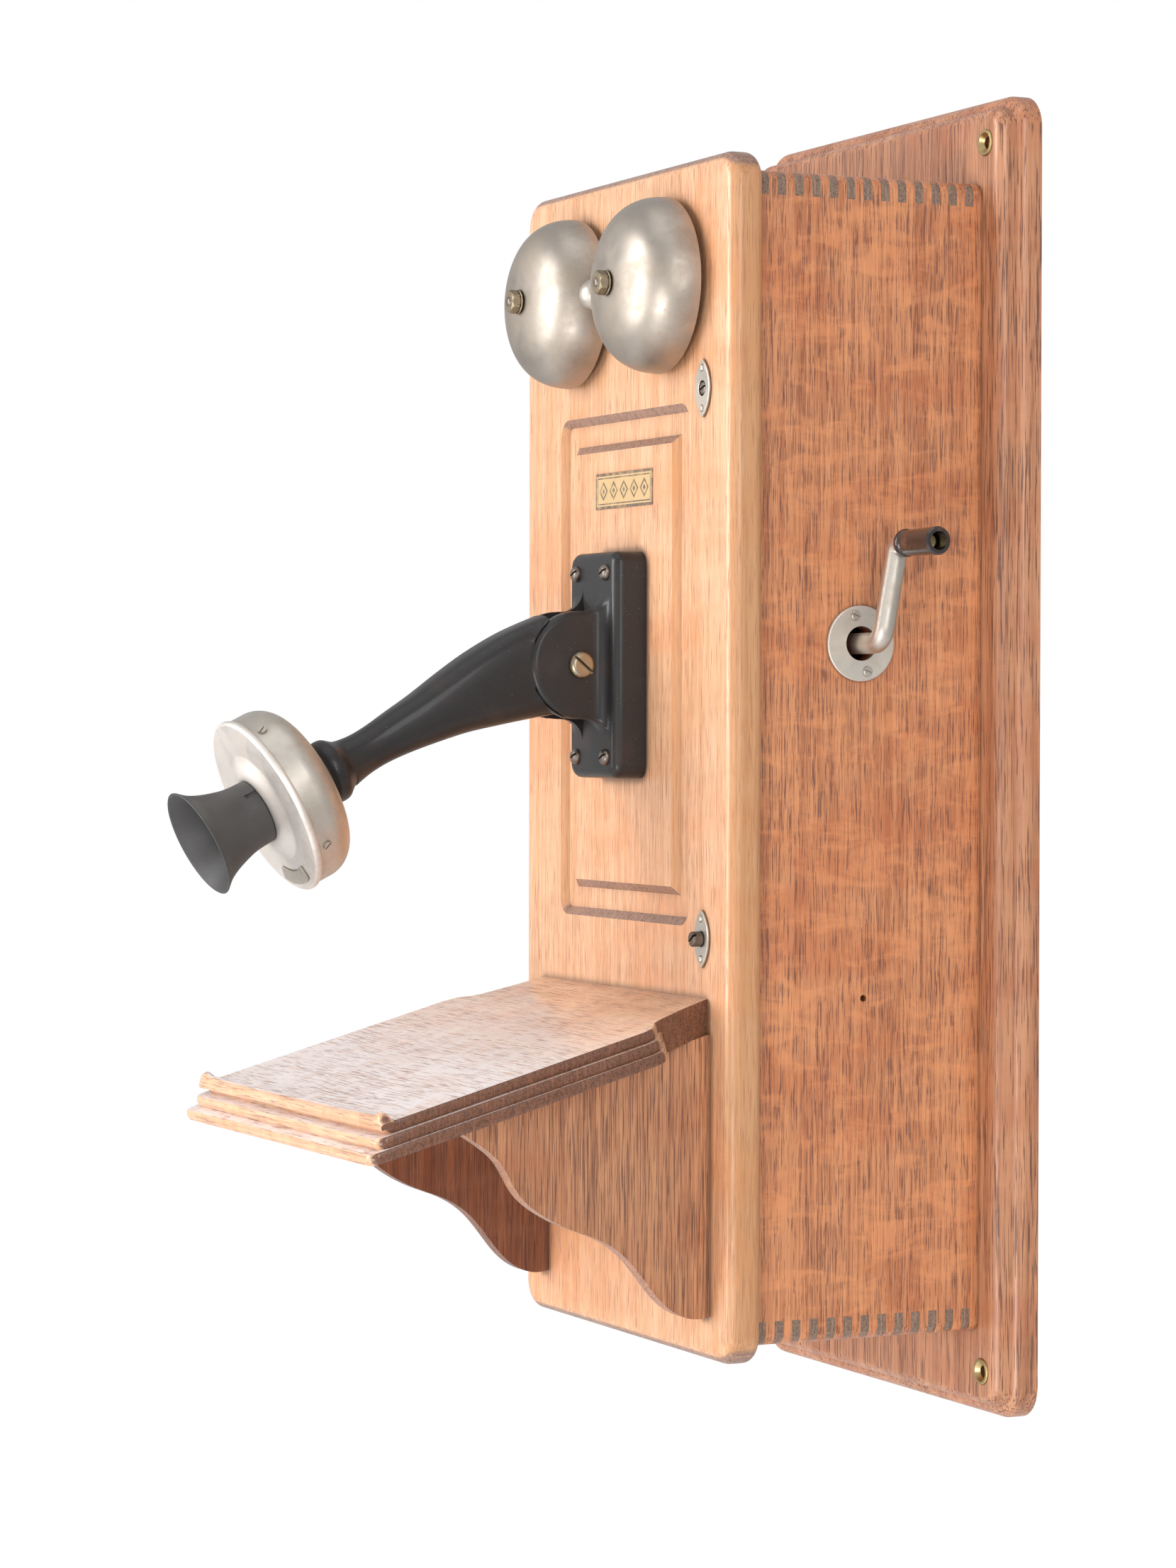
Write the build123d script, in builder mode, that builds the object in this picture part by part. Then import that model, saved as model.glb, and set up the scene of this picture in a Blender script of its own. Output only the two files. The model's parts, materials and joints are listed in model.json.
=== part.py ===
from build123d import *

import os
from math import atan, cos, pi, radians, sin

# Wall crank telephone: an oak case on a backboard, with a swinging front door that carries
# the gongs, the transmitter arm and the writing shelf. Millimetres. X runs to the right,
# Y towards the wall and Z up. The origin is the middle of the backboard's back face.
# Most sketches lie on Plane.XZ moved out from the wall, so "out" below means a distance
# in front of the wall, along minus Y.

os.makedirs("parts", exist_ok=True)

# Backboard
BOARD_W = 234
BOARD_H = 582
BOARD_OUT = 20
BOARD_CORNER = 15
BEAD_OUT = 12
BEAD_R = 5.5
FIELD_SIDE_STEP = 3
FIELD_END_STEP = 6
FIELD_R = 5
WALL_HOLE_R = 2.6
WALL_HOLE_DX = 205
WALL_HOLE_DZ = 540
CUP_R = 5.8

# Case
CASE_W = 199
CASE_H = 505
CASE_OUT = 130
WALL = 10.5
CASE_DEPTH = CASE_OUT - BOARD_OUT
CASE_MID_Y = -(CASE_OUT + BOARD_OUT) / 2
INSIDE_X = CASE_W / 2 - WALL
INSIDE_Z = CASE_H / 2 - WALL
CASE_EDGE_R = 5
FINGERS = 13
FINGER = CASE_DEPTH / (2 * FINGERS)

# Inner shelf
INNER_SHELF_TOP = -8
INNER_SHELF_T = 10
INNER_SHELF_DEPTH = 98

# Door
DOOR_W = 211
DOOR_H = 520
DOOR_REAR = 130.5
DOOR_T = 16
DOOR_FACE = DOOR_REAR + DOOR_T
DOOR_CORNER = 13
PANEL_W = 131
PANEL_H = 227.5
PANEL_MID_Z = 40.8
PANEL_DEPTH = 3
PANEL_SLOPE = 3.6
FIELD_INSET = 13

# Hinges at the door's left edge
HINGE_X = -103.2
HINGE_Y = -127
HINGE_ZS = (170, -170)
KNUCKLE_R = 2.8
PIN_R = 1.45
PIN_HOLE_R = 1.5
LEAF_H = 38
LEAF_T = 1.2
KNUCKLE_GAP = 0.25
LEAF_REACH_X = -90

# Gongs and ringer
GONG_X = 46
GONG_Z = 206.6
GONG_R = 38.5
GONG_RISE = 26.5
GONG_WALL = 1.2
GONG_FULLNESS = 0.7
GONG_RIM_OUT = DOOR_FACE + 4
POST_R = 4
STUD_R = 2.4
BALL_OUT = 160.7
BALL_R = 7
CLAPPER_PIVOT_Z = 153
CLAPPER_Y = -112
CLAPPER_ROD_R = 1.3
COIL_X = 19
COIL_R = 13

# Latch screws on the door's right edge
LATCH_X = 80
LATCH_ZS = (159.6, -77.7)
LATCH_STEM_R = 3
LATCH_HOLE_R = 3.3
TONGUE_L = 8
TONGUE_W = 5

# Transmitter bracket and arm
BRACKET_W = 48
BRACKET_LOW = -9.3
BRACKET_HIGH = 91.5
BRACKET_OUT = DOOR_FACE + 15.7
PIVOT_Y = -174.3
PIVOT_Z = 41
LUG_R = 24
LUG_OUTER_X = 15
LUG_INNER_X = 9
PIVOT_SHANK_R = 4
PIVOT_HOLE_R = 4.05
TONGUE_HALF = 8.7
SHOULDER_R = 24.6

# Transmitter head: its axis points out and down
HEAD_TILT = radians(27)
HEAD_DIR = (0, -cos(HEAD_TILT), -sin(HEAD_TILT))
FACE_CENTRE = (0, -318.4, -21.4)
CUP_OUTER_R = 39.5
FACE_R = 40.6
CUP_BACK = -23.7
CUP_WALL = 1.5

# Writing shelf
SHELF_BACK_Z = -103.3
SHELF_SLOPE = atan(0.285)
SHELF_T = 14.4
SHELF_BACK_X = 84
SHELF_X = 107
SHELF_REACH = 168
SHELF_SPREAD = 5
SHELF_BRACKET_X = 87
SHELF_BRACKET_T = 9

# Crank and generator
CRANK_Y = -80.7
CRANK_Z = 50
CRANK_THROW = 43
CRANK_LEAN = radians(8)
CRANK_ELBOW_X = 118.8
CRANK_TOP_X = 122.3
GRIP_X0 = 126
GRIP_X1 = 157
SHAFT_R = 4
SHAFT_HOLE_R = 4.05
GEAR_TEETH = 60
PINION_TEETH = 12
GEAR_MODULE = 1
ARMATURE_Z = CRANK_Z - GEAR_MODULE * (GEAR_TEETH + PINION_TEETH) / 2
ARMATURE_R = 15.5
MAGNET_R_IN = 26
MAGNET_R_OUT = 32
MAGNET_W = 15
MAGNET_PITCH = 17

# Hook and receiver
HOOK_Y = -75
HOOK_Z = 58
HOOK_PIVOT_X = -72
RECEIVER_X = -140
NECK_R = 15.5
FORK_R_IN = 16.5
FORK_R_OUT = 21.5
FORK_T = 4

# Hole for the receiver cord in the left side: its y and z
CORD_HOLE = (-110, -90)


# --- Cabinet -------------------------------------------------------------------------

with BuildPart() as backboard:
    # the outer bead, and the raised flat field that leaves a quirk against it
    with BuildSketch(Plane.XZ):
        RectangleRounded(BOARD_W, BOARD_H, BOARD_CORNER)
    extrude(amount=BEAD_OUT)
    fillet(backboard.faces().sort_by(Axis.Y)[0].edges(), radius=BEAD_R)
    with BuildSketch(Plane.XZ.offset(BEAD_OUT / 2)):
        RectangleRounded(BOARD_W - 2 * FIELD_SIDE_STEP, BOARD_H - 2 * FIELD_END_STEP, 9)
    extrude(amount=BOARD_OUT - BEAD_OUT / 2)
    fillet(backboard.faces().sort_by(Axis.Y)[0].edges(), radius=FIELD_R)
    with BuildSketch(Plane.XZ):
        with GridLocations(WALL_HOLE_DX, WALL_HOLE_DZ, 2, 2):
            Circle(WALL_HOLE_R)
    extrude(amount=BOARD_OUT, mode=Mode.SUBTRACT)
    with BuildSketch(Plane.XZ.offset(BOARD_OUT)):
        with GridLocations(WALL_HOLE_DX, WALL_HOLE_DZ, 2, 2):
            Circle(CUP_R + 0.1)
    extrude(amount=-2.8, mode=Mode.SUBTRACT)
backboard.part.label = "backboard"

with BuildPart() as screw_cups:
    # brass cups let into the board, with a countersink for the wall screw's head
    with BuildSketch(Plane.XZ.offset(BOARD_OUT - 2.8)):
        with GridLocations(WALL_HOLE_DX, WALL_HOLE_DZ, 2, 2):
            Circle(CUP_R)
    extrude(amount=3.6)
    rims = screw_cups.faces().sort_by(Axis.Y)[:4].edges()
    fillet(rims, radius=0.6)
    with BuildSketch(Plane.XZ.offset(BOARD_OUT - 3)):
        with GridLocations(WALL_HOLE_DX, WALL_HOLE_DZ, 2, 2):
            Circle(WALL_HOLE_R)
    extrude(amount=5, mode=Mode.SUBTRACT)
    hole_rims = screw_cups.edges().filter_by(lambda e: e.geom_type == GeomType.CIRCLE and e.radius < 3)
    chamfer(hole_rims.sort_by(Axis.Y)[:4], length=1.8)
screw_cups.part.label = "screw_cups"


def finger_ys(first):
    """Middles of every other finger along the case's depth, counted from the front."""
    return [-CASE_OUT + FINGER * (first + 0.5 + 2 * i) for i in range(FINGERS)]


def cut_fingers(first, x, z, width, height):
    """Cuts finger sockets out of the board being built, at one of its ends."""
    with Locations(*[(x, y, z) for y in finger_ys(first)]):
        Box(width, FINGER, height, mode=Mode.SUBTRACT)


with BuildPart() as case_envelope:
    # the whole case as one block with its four long edges rounded; each board is cut to it
    with BuildSketch(Plane.XZ.offset(BOARD_OUT)):
        RectangleRounded(CASE_W, CASE_H, CASE_EDGE_R)
    extrude(amount=CASE_DEPTH)


SIDE_MID_X = (CASE_W - WALL) / 2
END_MID_Z = (CASE_H - WALL) / 2

with BuildPart() as case_side_right:
    with Locations((SIDE_MID_X, CASE_MID_Y, 0)):
        Box(WALL, CASE_DEPTH, CASE_H)
    cut_fingers(0, SIDE_MID_X, END_MID_Z, WALL, WALL)
    cut_fingers(0, SIDE_MID_X, -END_MID_Z, WALL, WALL)
    add(case_envelope.part, mode=Mode.INTERSECT)
    # crank hole, and a small blind screw hole lower down
    with BuildSketch(Plane.YZ.offset(INSIDE_X)):
        with Locations((CRANK_Y, CRANK_Z)):
            Circle(8.5)
    extrude(amount=WALL, mode=Mode.SUBTRACT)
    with BuildSketch(Plane.YZ.offset(CASE_W / 2)):
        with Locations((-78.4, -104)):
            Circle(1.5)
    extrude(amount=-5, mode=Mode.SUBTRACT)
case_side_right.part.label = "case_side_right"

with BuildPart() as case_side_left:
    with Locations((-SIDE_MID_X, CASE_MID_Y, 0)):
        Box(WALL, CASE_DEPTH, CASE_H)
    cut_fingers(0, -SIDE_MID_X, END_MID_Z, WALL, WALL)
    cut_fingers(0, -SIDE_MID_X, -END_MID_Z, WALL, WALL)
    add(case_envelope.part, mode=Mode.INTERSECT)
    # slot for the hook lever, and the hole that the receiver cord would enter by
    with Locations((-SIDE_MID_X, HOOK_Y, HOOK_Z + 2.5)):
        Box(WALL, 8, 20, mode=Mode.SUBTRACT)
    with BuildSketch(Plane.YZ.offset(-CASE_W / 2)):
        with Locations(CORD_HOLE):
            Circle(4)
    extrude(amount=WALL, mode=Mode.SUBTRACT)
    # mortises for the hinge leaves in the front edge
    with Locations(*[(-SIDE_MID_X, -CASE_OUT + 0.7, z) for z in HINGE_ZS]):
        Box(WALL + 4, 1.6, LEAF_H + 0.4, mode=Mode.SUBTRACT)
case_side_left.part.label = "case_side_left"

with BuildPart() as case_top:
    with Locations((0, CASE_MID_Y, END_MID_Z)):
        Box(CASE_W, CASE_DEPTH, WALL)
    cut_fingers(1, SIDE_MID_X, END_MID_Z, WALL, WALL)
    cut_fingers(1, -SIDE_MID_X, END_MID_Z, WALL, WALL)
    add(case_envelope.part, mode=Mode.INTERSECT)
case_top.part.label = "case_top"

with BuildPart() as case_bottom:
    with Locations((0, CASE_MID_Y, -END_MID_Z)):
        Box(CASE_W, CASE_DEPTH, WALL)
    cut_fingers(1, SIDE_MID_X, -END_MID_Z, WALL, WALL)
    cut_fingers(1, -SIDE_MID_X, -END_MID_Z, WALL, WALL)
    add(case_envelope.part, mode=Mode.INTERSECT)
case_bottom.part.label = "case_bottom"

with BuildPart() as inner_shelf:
    with Locations((0, -BOARD_OUT - INNER_SHELF_DEPTH / 2, INNER_SHELF_TOP - INNER_SHELF_T / 2)):
        Box(2 * INSIDE_X, INNER_SHELF_DEPTH, INNER_SHELF_T)
inner_shelf.part.label = "inner_shelf"

CLEAT = 10
with BuildPart() as shelf_cleats:
    with Locations((0, -BOARD_OUT - 48, INNER_SHELF_TOP - INNER_SHELF_T - CLEAT / 2)):
        with GridLocations(2 * INSIDE_X - CLEAT, 0, 2, 1):
            Box(CLEAT, 90, CLEAT)
shelf_cleats.part.label = "shelf_cleats"


# --- Door ----------------------------------------------------------------------------

FIELD_W = PANEL_W - 2 * FIELD_INSET
FIELD_H = PANEL_H - 2 * FIELD_INSET

with BuildPart() as door_board:
    with BuildSketch(Plane.XZ.offset(DOOR_REAR)):
        RectangleRounded(DOOR_W, DOOR_H, DOOR_CORNER)
    extrude(amount=DOOR_T)
    fillet(door_board.faces().sort_by(Axis.Y)[0].edges(), radius=6)
    fillet(door_board.faces().sort_by(Axis.Y)[-1].edges(), radius=4.5)
    # a sunken band with a sloping outer wall, round a raised field with sloping sides
    with BuildSketch(Plane.XZ.offset(DOOR_FACE)):
        with Locations((0, PANEL_MID_Z)):
            RectangleRounded(PANEL_W, PANEL_H, 8)
    with BuildSketch(Plane.XZ.offset(DOOR_FACE - PANEL_DEPTH)):
        with Locations((0, PANEL_MID_Z)):
            RectangleRounded(PANEL_W - 2 * PANEL_SLOPE, PANEL_H - 2 * PANEL_SLOPE, 3)
    loft(mode=Mode.SUBTRACT)
    with BuildSketch(Plane.XZ.offset(DOOR_FACE - PANEL_DEPTH)):
        with Locations((0, PANEL_MID_Z)):
            Rectangle(FIELD_W, FIELD_H)
    with BuildSketch(Plane.XZ.offset(DOOR_FACE)):
        with Locations((0, PANEL_MID_Z)):
            Rectangle(FIELD_W - 2 * PANEL_SLOPE, FIELD_H - 2 * PANEL_SLOPE)
    loft()
    # holes for the gong posts, the latch stems and the clapper rod
    with BuildSketch(Plane.XZ.offset(DOOR_REAR)):
        with Locations((-GONG_X, GONG_Z), (GONG_X, GONG_Z)):
            Circle(POST_R + 0.1)
        with Locations(*[(LATCH_X, z) for z in LATCH_ZS]):
            Circle(LATCH_HOLE_R)
        with Locations((0, GONG_Z)):
            SlotOverall(14, 6)
    extrude(amount=DOOR_T, mode=Mode.SUBTRACT)
    # mortises for the hinge leaves in the rear face
    with Locations(*[(-98.5, -DOOR_REAR - 0.6, z) for z in HINGE_ZS]):
        Box(17.4, 1.4, LEAF_H + 0.4, mode=Mode.SUBTRACT)
door_board.part.label = "door_board"

with BuildPart() as door_label:
    with BuildSketch(Plane.XZ.offset(DOOR_FACE)):
        with Locations((1, 120)):
            Rectangle(58, 16)
    extrude(amount=0.25)
door_label.part.label = "door_label"


# --- Hinges --------------------------------------------------------------------------

KNUCKLE_H = LEAF_H / 3
SIDE_KNUCKLE_ZS = [z + shift for z in HINGE_ZS for shift in (KNUCKLE_H, -KNUCKLE_H)]

with BuildPart() as hinge_case_leaves:
    leaf_w = LEAF_REACH_X - HINGE_X
    with Locations(*[(HINGE_X + leaf_w / 2, HINGE_Y - KNUCKLE_R + LEAF_T / 2, z) for z in HINGE_ZS]):
        Box(leaf_w, LEAF_T, LEAF_H)
    with Locations(*[(HINGE_X, HINGE_Y, z) for z in HINGE_ZS]):
        Cylinder(KNUCKLE_R + 0.3, KNUCKLE_H + 2 * KNUCKLE_GAP, mode=Mode.SUBTRACT)
    with Locations(*[(HINGE_X, HINGE_Y, z) for z in SIDE_KNUCKLE_ZS]):
        Cylinder(KNUCKLE_R, KNUCKLE_H)
    with Locations(*[(HINGE_X, HINGE_Y, z) for z in HINGE_ZS]):
        Cylinder(PIN_HOLE_R, LEAF_H + 1, mode=Mode.SUBTRACT)
hinge_case_leaves.part.label = "hinge_case_leaves"

with BuildPart() as hinge_door_leaves:
    leaf_low_x = HINGE_X - KNUCKLE_R
    leaf_w = LEAF_REACH_X - leaf_low_x
    with Locations(*[(leaf_low_x + leaf_w / 2, -DOOR_REAR - LEAF_T / 2, z) for z in HINGE_ZS]):
        Box(leaf_w, LEAF_T, LEAF_H)
    web_depth = HINGE_Y + DOOR_REAR + LEAF_T
    with Locations(*[(leaf_low_x + 0.7, HINGE_Y - web_depth / 2, z) for z in HINGE_ZS]):
        Box(1.4, web_depth, KNUCKLE_H - 2 * KNUCKLE_GAP)
    with Locations(*[(HINGE_X, HINGE_Y, z) for z in HINGE_ZS]):
        Cylinder(KNUCKLE_R, KNUCKLE_H - 2 * KNUCKLE_GAP)
        Cylinder(PIN_HOLE_R, LEAF_H, mode=Mode.SUBTRACT)
hinge_door_leaves.part.label = "hinge_door_leaves"

with BuildPart() as hinge_pins:
    with Locations(*[(HINGE_X, HINGE_Y, z) for z in HINGE_ZS]):
        Cylinder(PIN_R, LEAF_H)
    with Locations(*[(HINGE_X, HINGE_Y, z + LEAF_H / 2 + 0.9) for z in HINGE_ZS]):
        Cylinder(2.2, 1.8)
hinge_pins.part.label = "hinge_pins"


# --- Gongs and ringer ----------------------------------------------------------------

def gong_curve(radius, rise):
    """Half section of a gong's shell from its crown down to its rim, fuller than an ellipse."""
    return Bezier((0, -rise), (GONG_FULLNESS * radius, -rise), (radius, -GONG_FULLNESS * rise), (radius, 0))


with BuildPart() as gongs:
    for side in (-1, 1):
        gong_plane = Plane(origin=(side * GONG_X, -GONG_RIM_OUT, GONG_Z), x_dir=(1, 0, 0), z_dir=(0, 0, 1))
        with BuildSketch(gong_plane):
            with BuildLine():
                outer = gong_curve(GONG_R, GONG_RISE)
                inner = gong_curve(GONG_R - GONG_WALL, GONG_RISE - GONG_WALL)
                Line(outer @ 1, inner @ 1)
                Line(outer @ 0, inner @ 0)
            make_face()
        revolve(axis=Axis((side * GONG_X, 0, GONG_Z), (0, 1, 0)))
    with BuildSketch(Plane.XZ.offset(GONG_RIM_OUT)):
        with Locations((-GONG_X, GONG_Z), (GONG_X, GONG_Z)):
            Circle(STUD_R + 0.2)
    extrude(amount=GONG_RISE + 1, mode=Mode.SUBTRACT)
gongs.part.label = "gongs"

POST_OUT = GONG_RIM_OUT + GONG_RISE - GONG_WALL - 0.4
NUT_OUT = GONG_RIM_OUT + GONG_RISE + 0.3
STUD_OUT = NUT_OUT + 5.8

with BuildPart() as gong_posts:
    for side in (-1, 1):
        with BuildSketch(Plane.XZ.offset(DOOR_REAR - 2.5)):
            with Locations((side * GONG_X, GONG_Z)):
                Circle(9)
        extrude(amount=2.5)
        with BuildSketch(Plane.XZ.offset(DOOR_REAR)):
            with Locations((side * GONG_X, GONG_Z)):
                Circle(POST_R)
        extrude(amount=POST_OUT - DOOR_REAR)
        with BuildSketch(Plane.XZ.offset(POST_OUT)):
            with Locations((side * GONG_X, GONG_Z)):
                Circle(STUD_R)
        extrude(amount=STUD_OUT - POST_OUT)
    fillet(gong_posts.faces().sort_by(Axis.Y)[:2].edges(), radius=1.4)
gong_posts.part.label = "gong_posts"

with BuildPart() as gong_nuts:
    with BuildSketch(Plane.XZ.offset(NUT_OUT)):
        with Locations((-GONG_X, GONG_Z), (GONG_X, GONG_Z)):
            Circle(5.6)
            Circle(STUD_R + 0.1, mode=Mode.SUBTRACT)
    extrude(amount=1)
    with BuildSketch(Plane.XZ.offset(NUT_OUT + 1)):
        with Locations((-GONG_X, GONG_Z), (GONG_X, GONG_Z)):
            RegularPolygon(4.7, 6, major_radius=False)
            Circle(STUD_R + 0.1, mode=Mode.SUBTRACT)
    extrude(amount=4)
gong_nuts.part.label = "gong_nuts"

YOKE_Z = 98
POLE_Z = 148.5
with BuildPart() as ringer_frame:
    # plate on the door's rear face, yoke bar under the coils, two cores and the pivot pin
    with Locations((0, -DOOR_REAR + 1.5, (YOKE_Z + 172) / 2)):
        Box(76, 3, 172 - YOKE_Z)
    with Locations((0, -DOOR_REAR + 3 + 15, YOKE_Z + 2.5)):
        Box(68, 30, 5)
    with BuildSketch(Plane.XY.offset(YOKE_Z + 5)):
        with Locations((-COIL_X, CLAPPER_Y), (COIL_X, CLAPPER_Y)):
            Circle(4.5)
    extrude(amount=POLE_Z - YOKE_Z - 5)
    with BuildSketch(Plane.XZ.offset(DOOR_REAR - 3)):
        with Locations((0, CLAPPER_PIVOT_Z)):
            Circle(1.5)
    extrude(amount=-26)
ringer_frame.part.label = "ringer_frame"

with BuildPart() as ringer_coils:
    # paper-covered windings between fibre cheeks
    for rise, height, radius in ((5.2, 2, COIL_R + 1), (7.2, 37, COIL_R), (44.2, 2, COIL_R + 1)):
        with BuildSketch(Plane.XY.offset(YOKE_Z + rise)):
            with Locations((-COIL_X, CLAPPER_Y), (COIL_X, CLAPPER_Y)):
                Circle(radius)
                Circle(4.6, mode=Mode.SUBTRACT)
        extrude(amount=height)
ringer_coils.part.label = "ringer_coils"

with BuildPart() as ringer_magnet:
    # bar magnet from the yoke's inner end up past the armature
    with Locations((0, -DOOR_REAR + 3 + 30 + 2.5, (YOKE_Z + 162) / 2)):
        Box(14, 5, 162 - YOKE_Z)
ringer_magnet.part.label = "ringer_magnet"

BALL_ROOT_OUT = BALL_OUT - BALL_R + 1
with BuildPart() as clapper:
    # rocking armature with a pivot boss; its rod rises, bends forward and carries the ball
    with Locations((0, CLAPPER_Y, CLAPPER_PIVOT_Z)):
        Box(56, 12, 4.5)
    with BuildSketch(Plane.XZ.offset(-CLAPPER_Y - 6)):
        with Locations((0, CLAPPER_PIVOT_Z)):
            Circle(4)
    extrude(amount=12)
    with BuildSketch(Plane.XZ.offset(-CLAPPER_Y - 7)):
        with Locations((0, CLAPPER_PIVOT_Z)):
            Circle(1.55)
    extrude(amount=14, mode=Mode.SUBTRACT)
    with BuildLine():
        rod_path = FilletPolyline(
            (0, CLAPPER_Y, CLAPPER_PIVOT_Z + 2.5),
            (0, CLAPPER_Y, GONG_Z),
            (0, -BALL_ROOT_OUT, GONG_Z),
            radius=6,
        )
    with BuildSketch(Plane(origin=rod_path @ 0, z_dir=rod_path % 0)):
        Circle(CLAPPER_ROD_R)
    sweep(path=rod_path)
    with Locations((0, -BALL_OUT, GONG_Z)):
        Sphere(BALL_R)
clapper.part.label = "clapper"


# --- Latches -------------------------------------------------------------------------

PLATE_OUT = DOOR_FACE + 1.3
with BuildPart() as latch_plates:
    for z in LATCH_ZS:
        with BuildSketch(Plane.XZ.offset(DOOR_FACE)):
            with BuildLine():
                ThreePointArc((LATCH_X, z + 12.5), (LATCH_X + 6.5, z), (LATCH_X, z - 12.5))
                ThreePointArc((LATCH_X, z - 12.5), (LATCH_X - 6.5, z), (LATCH_X, z + 12.5))
            make_face()
            with Locations((LATCH_X, z)):
                Circle(LATCH_HOLE_R, mode=Mode.SUBTRACT)
        extrude(amount=PLATE_OUT - DOOR_FACE)
latch_plates.part.label = "latch_plates"

with BuildPart() as latch_rivets:
    with BuildSketch(Plane.XZ.offset(PLATE_OUT)):
        with Locations(*[(LATCH_X, z + shift) for z in LATCH_ZS for shift in (-8.7, 8.7)]):
            Circle(1.6)
    extrude(amount=0.9)
    fillet(latch_rivets.faces().sort_by(Axis.Y)[:4].edges(), radius=0.8)
latch_rivets.part.label = "latch_rivets"

TONGUE_OUT = DOOR_REAR - 6
with BuildPart() as latch_screw_lower:
    # slotted head, stem through the door and a tongue that turns behind the keeper
    with BuildSketch(Plane.XZ.offset(TONGUE_OUT)):
        with Locations((LATCH_X, LATCH_ZS[1])):
            Circle(LATCH_STEM_R)
    extrude(amount=PLATE_OUT + 0.5 - TONGUE_OUT)
    with BuildSketch(Plane.XZ.offset(PLATE_OUT + 0.4)):
        with Locations((LATCH_X, LATCH_ZS[1])):
            Circle(LATCH_HOLE_R)
    extrude(amount=4.4)
    fillet(latch_screw_lower.faces().sort_by(Axis.Y)[0].edges(), radius=1)
    with BuildSketch(Plane.XZ.offset(PLATE_OUT + 5)):
        with Locations(Location((LATCH_X, LATCH_ZS[1]), 35)):
            Rectangle(8, 1.1)
    extrude(amount=-1.8, mode=Mode.SUBTRACT)
    with BuildSketch(Plane.XZ.offset(TONGUE_OUT)):
        with Locations((LATCH_X, LATCH_ZS[1] + TONGUE_L / 2 - 1.5)):
            Rectangle(TONGUE_W, TONGUE_L + 3)
    extrude(amount=-3)
latch_screw_lower.part.label = "latch_screw_lower"

with BuildPart() as latch_screw_upper:
    # this one's domed head sits down in its hole
    with BuildSketch(Plane.XZ.offset(TONGUE_OUT)):
        with Locations((LATCH_X, LATCH_ZS[0])):
            Circle(LATCH_STEM_R)
    extrude(amount=PLATE_OUT - TONGUE_OUT)
    fillet(latch_screw_upper.faces().sort_by(Axis.Y)[0].edges(), radius=1.2)
    with BuildSketch(Plane.XZ.offset(PLATE_OUT)):
        with Locations(Location((LATCH_X, LATCH_ZS[0]), 20)):
            Rectangle(8, 0.9)
    extrude(amount=-1.2, mode=Mode.SUBTRACT)
    with BuildSketch(Plane.XZ.offset(TONGUE_OUT)):
        with Locations((LATCH_X, LATCH_ZS[0] + TONGUE_L / 2 - 1.5)):
            Rectangle(TONGUE_W, TONGUE_L + 3)
    extrude(amount=-3)
latch_screw_upper.part.label = "latch_screw_upper"

with BuildPart() as latch_keepers:
    # strips on the case's inner wall, just in front of where the tongues turn
    with Locations(*[(INSIDE_X - 2.3, -DOOR_REAR + 2.9, z) for z in LATCH_ZS]):
        Box(4.6, 2, 22)
    with Locations(*[(INSIDE_X - 1, -DOOR_REAR + 7, z + 13) for z in LATCH_ZS]):
        Box(2, 10.2, 8)
latch_keepers.part.label = "latch_keepers"


# --- Transmitter bracket and arm -----------------------------------------------------

BRACKET_MID_Z = (BRACKET_LOW + BRACKET_HIGH) / 2
BRACKET_H = BRACKET_HIGH - BRACKET_LOW


def is_inner_corner(corner):
    """True where a lug's straight side leaves the bracket's base."""
    return abs(corner.X + BRACKET_OUT) < 0.01 and abs(abs(corner.Y - PIVOT_Z) - LUG_R) < 0.01


with BuildPart() as transmitter_bracket:
    with BuildSketch(Plane.XZ.offset(DOOR_FACE)):
        with Locations((0, BRACKET_MID_Z)):
            RectangleRounded(BRACKET_W, BRACKET_H, 6)
    extrude(amount=BRACKET_OUT - DOOR_FACE)
    fillet(transmitter_bracket.faces().sort_by(Axis.Y)[0].edges(), radius=4.5)
    # two lugs that flow out of the base, above and below the pivot
    for low_x in (LUG_INNER_X, -LUG_OUTER_X):
        with BuildSketch(Plane.YZ.offset(low_x)):
            with Locations((PIVOT_Y, PIVOT_Z)):
                Circle(LUG_R)
            with Locations(((PIVOT_Y - DOOR_FACE - 4) / 2, PIVOT_Z)):
                Rectangle(-DOOR_FACE - 4 - PIVOT_Y, 2 * LUG_R)
            with Locations((-(DOOR_FACE + 4 + BRACKET_OUT) / 2, PIVOT_Z)):
                Rectangle(BRACKET_OUT - DOOR_FACE - 4, 84)
            fillet(vertices().filter_by(is_inner_corner), radius=9)
        extrude(amount=LUG_OUTER_X - LUG_INNER_X)
    with BuildSketch(Plane.YZ.offset(-LUG_OUTER_X)):
        with Locations((PIVOT_Y, PIVOT_Z)):
            Circle(PIVOT_HOLE_R)
    extrude(amount=2 * LUG_OUTER_X, mode=Mode.SUBTRACT)
transmitter_bracket.part.label = "transmitter_bracket"

SCREW_DX = 30
SCREW_DZ = 82
with BuildPart() as bracket_screws:
    with BuildSketch(Plane.XZ.offset(BRACKET_OUT)):
        with Locations((0, BRACKET_MID_Z)):
            with GridLocations(SCREW_DX, SCREW_DZ, 2, 2):
                Circle(3.6)
    extrude(amount=2.6)
    fillet(bracket_screws.faces().sort_by(Axis.Y)[:4].edges(), radius=2.2)
    with BuildSketch(Plane.XZ.offset(BRACKET_OUT + 1.4)):
        with Locations((0, BRACKET_MID_Z)):
            with GridLocations(SCREW_DX, SCREW_DZ, 2, 2):
                Rectangle(8, 1, rotation=25)
    extrude(amount=2, mode=Mode.SUBTRACT)
bracket_screws.part.label = "bracket_screws"

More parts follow.
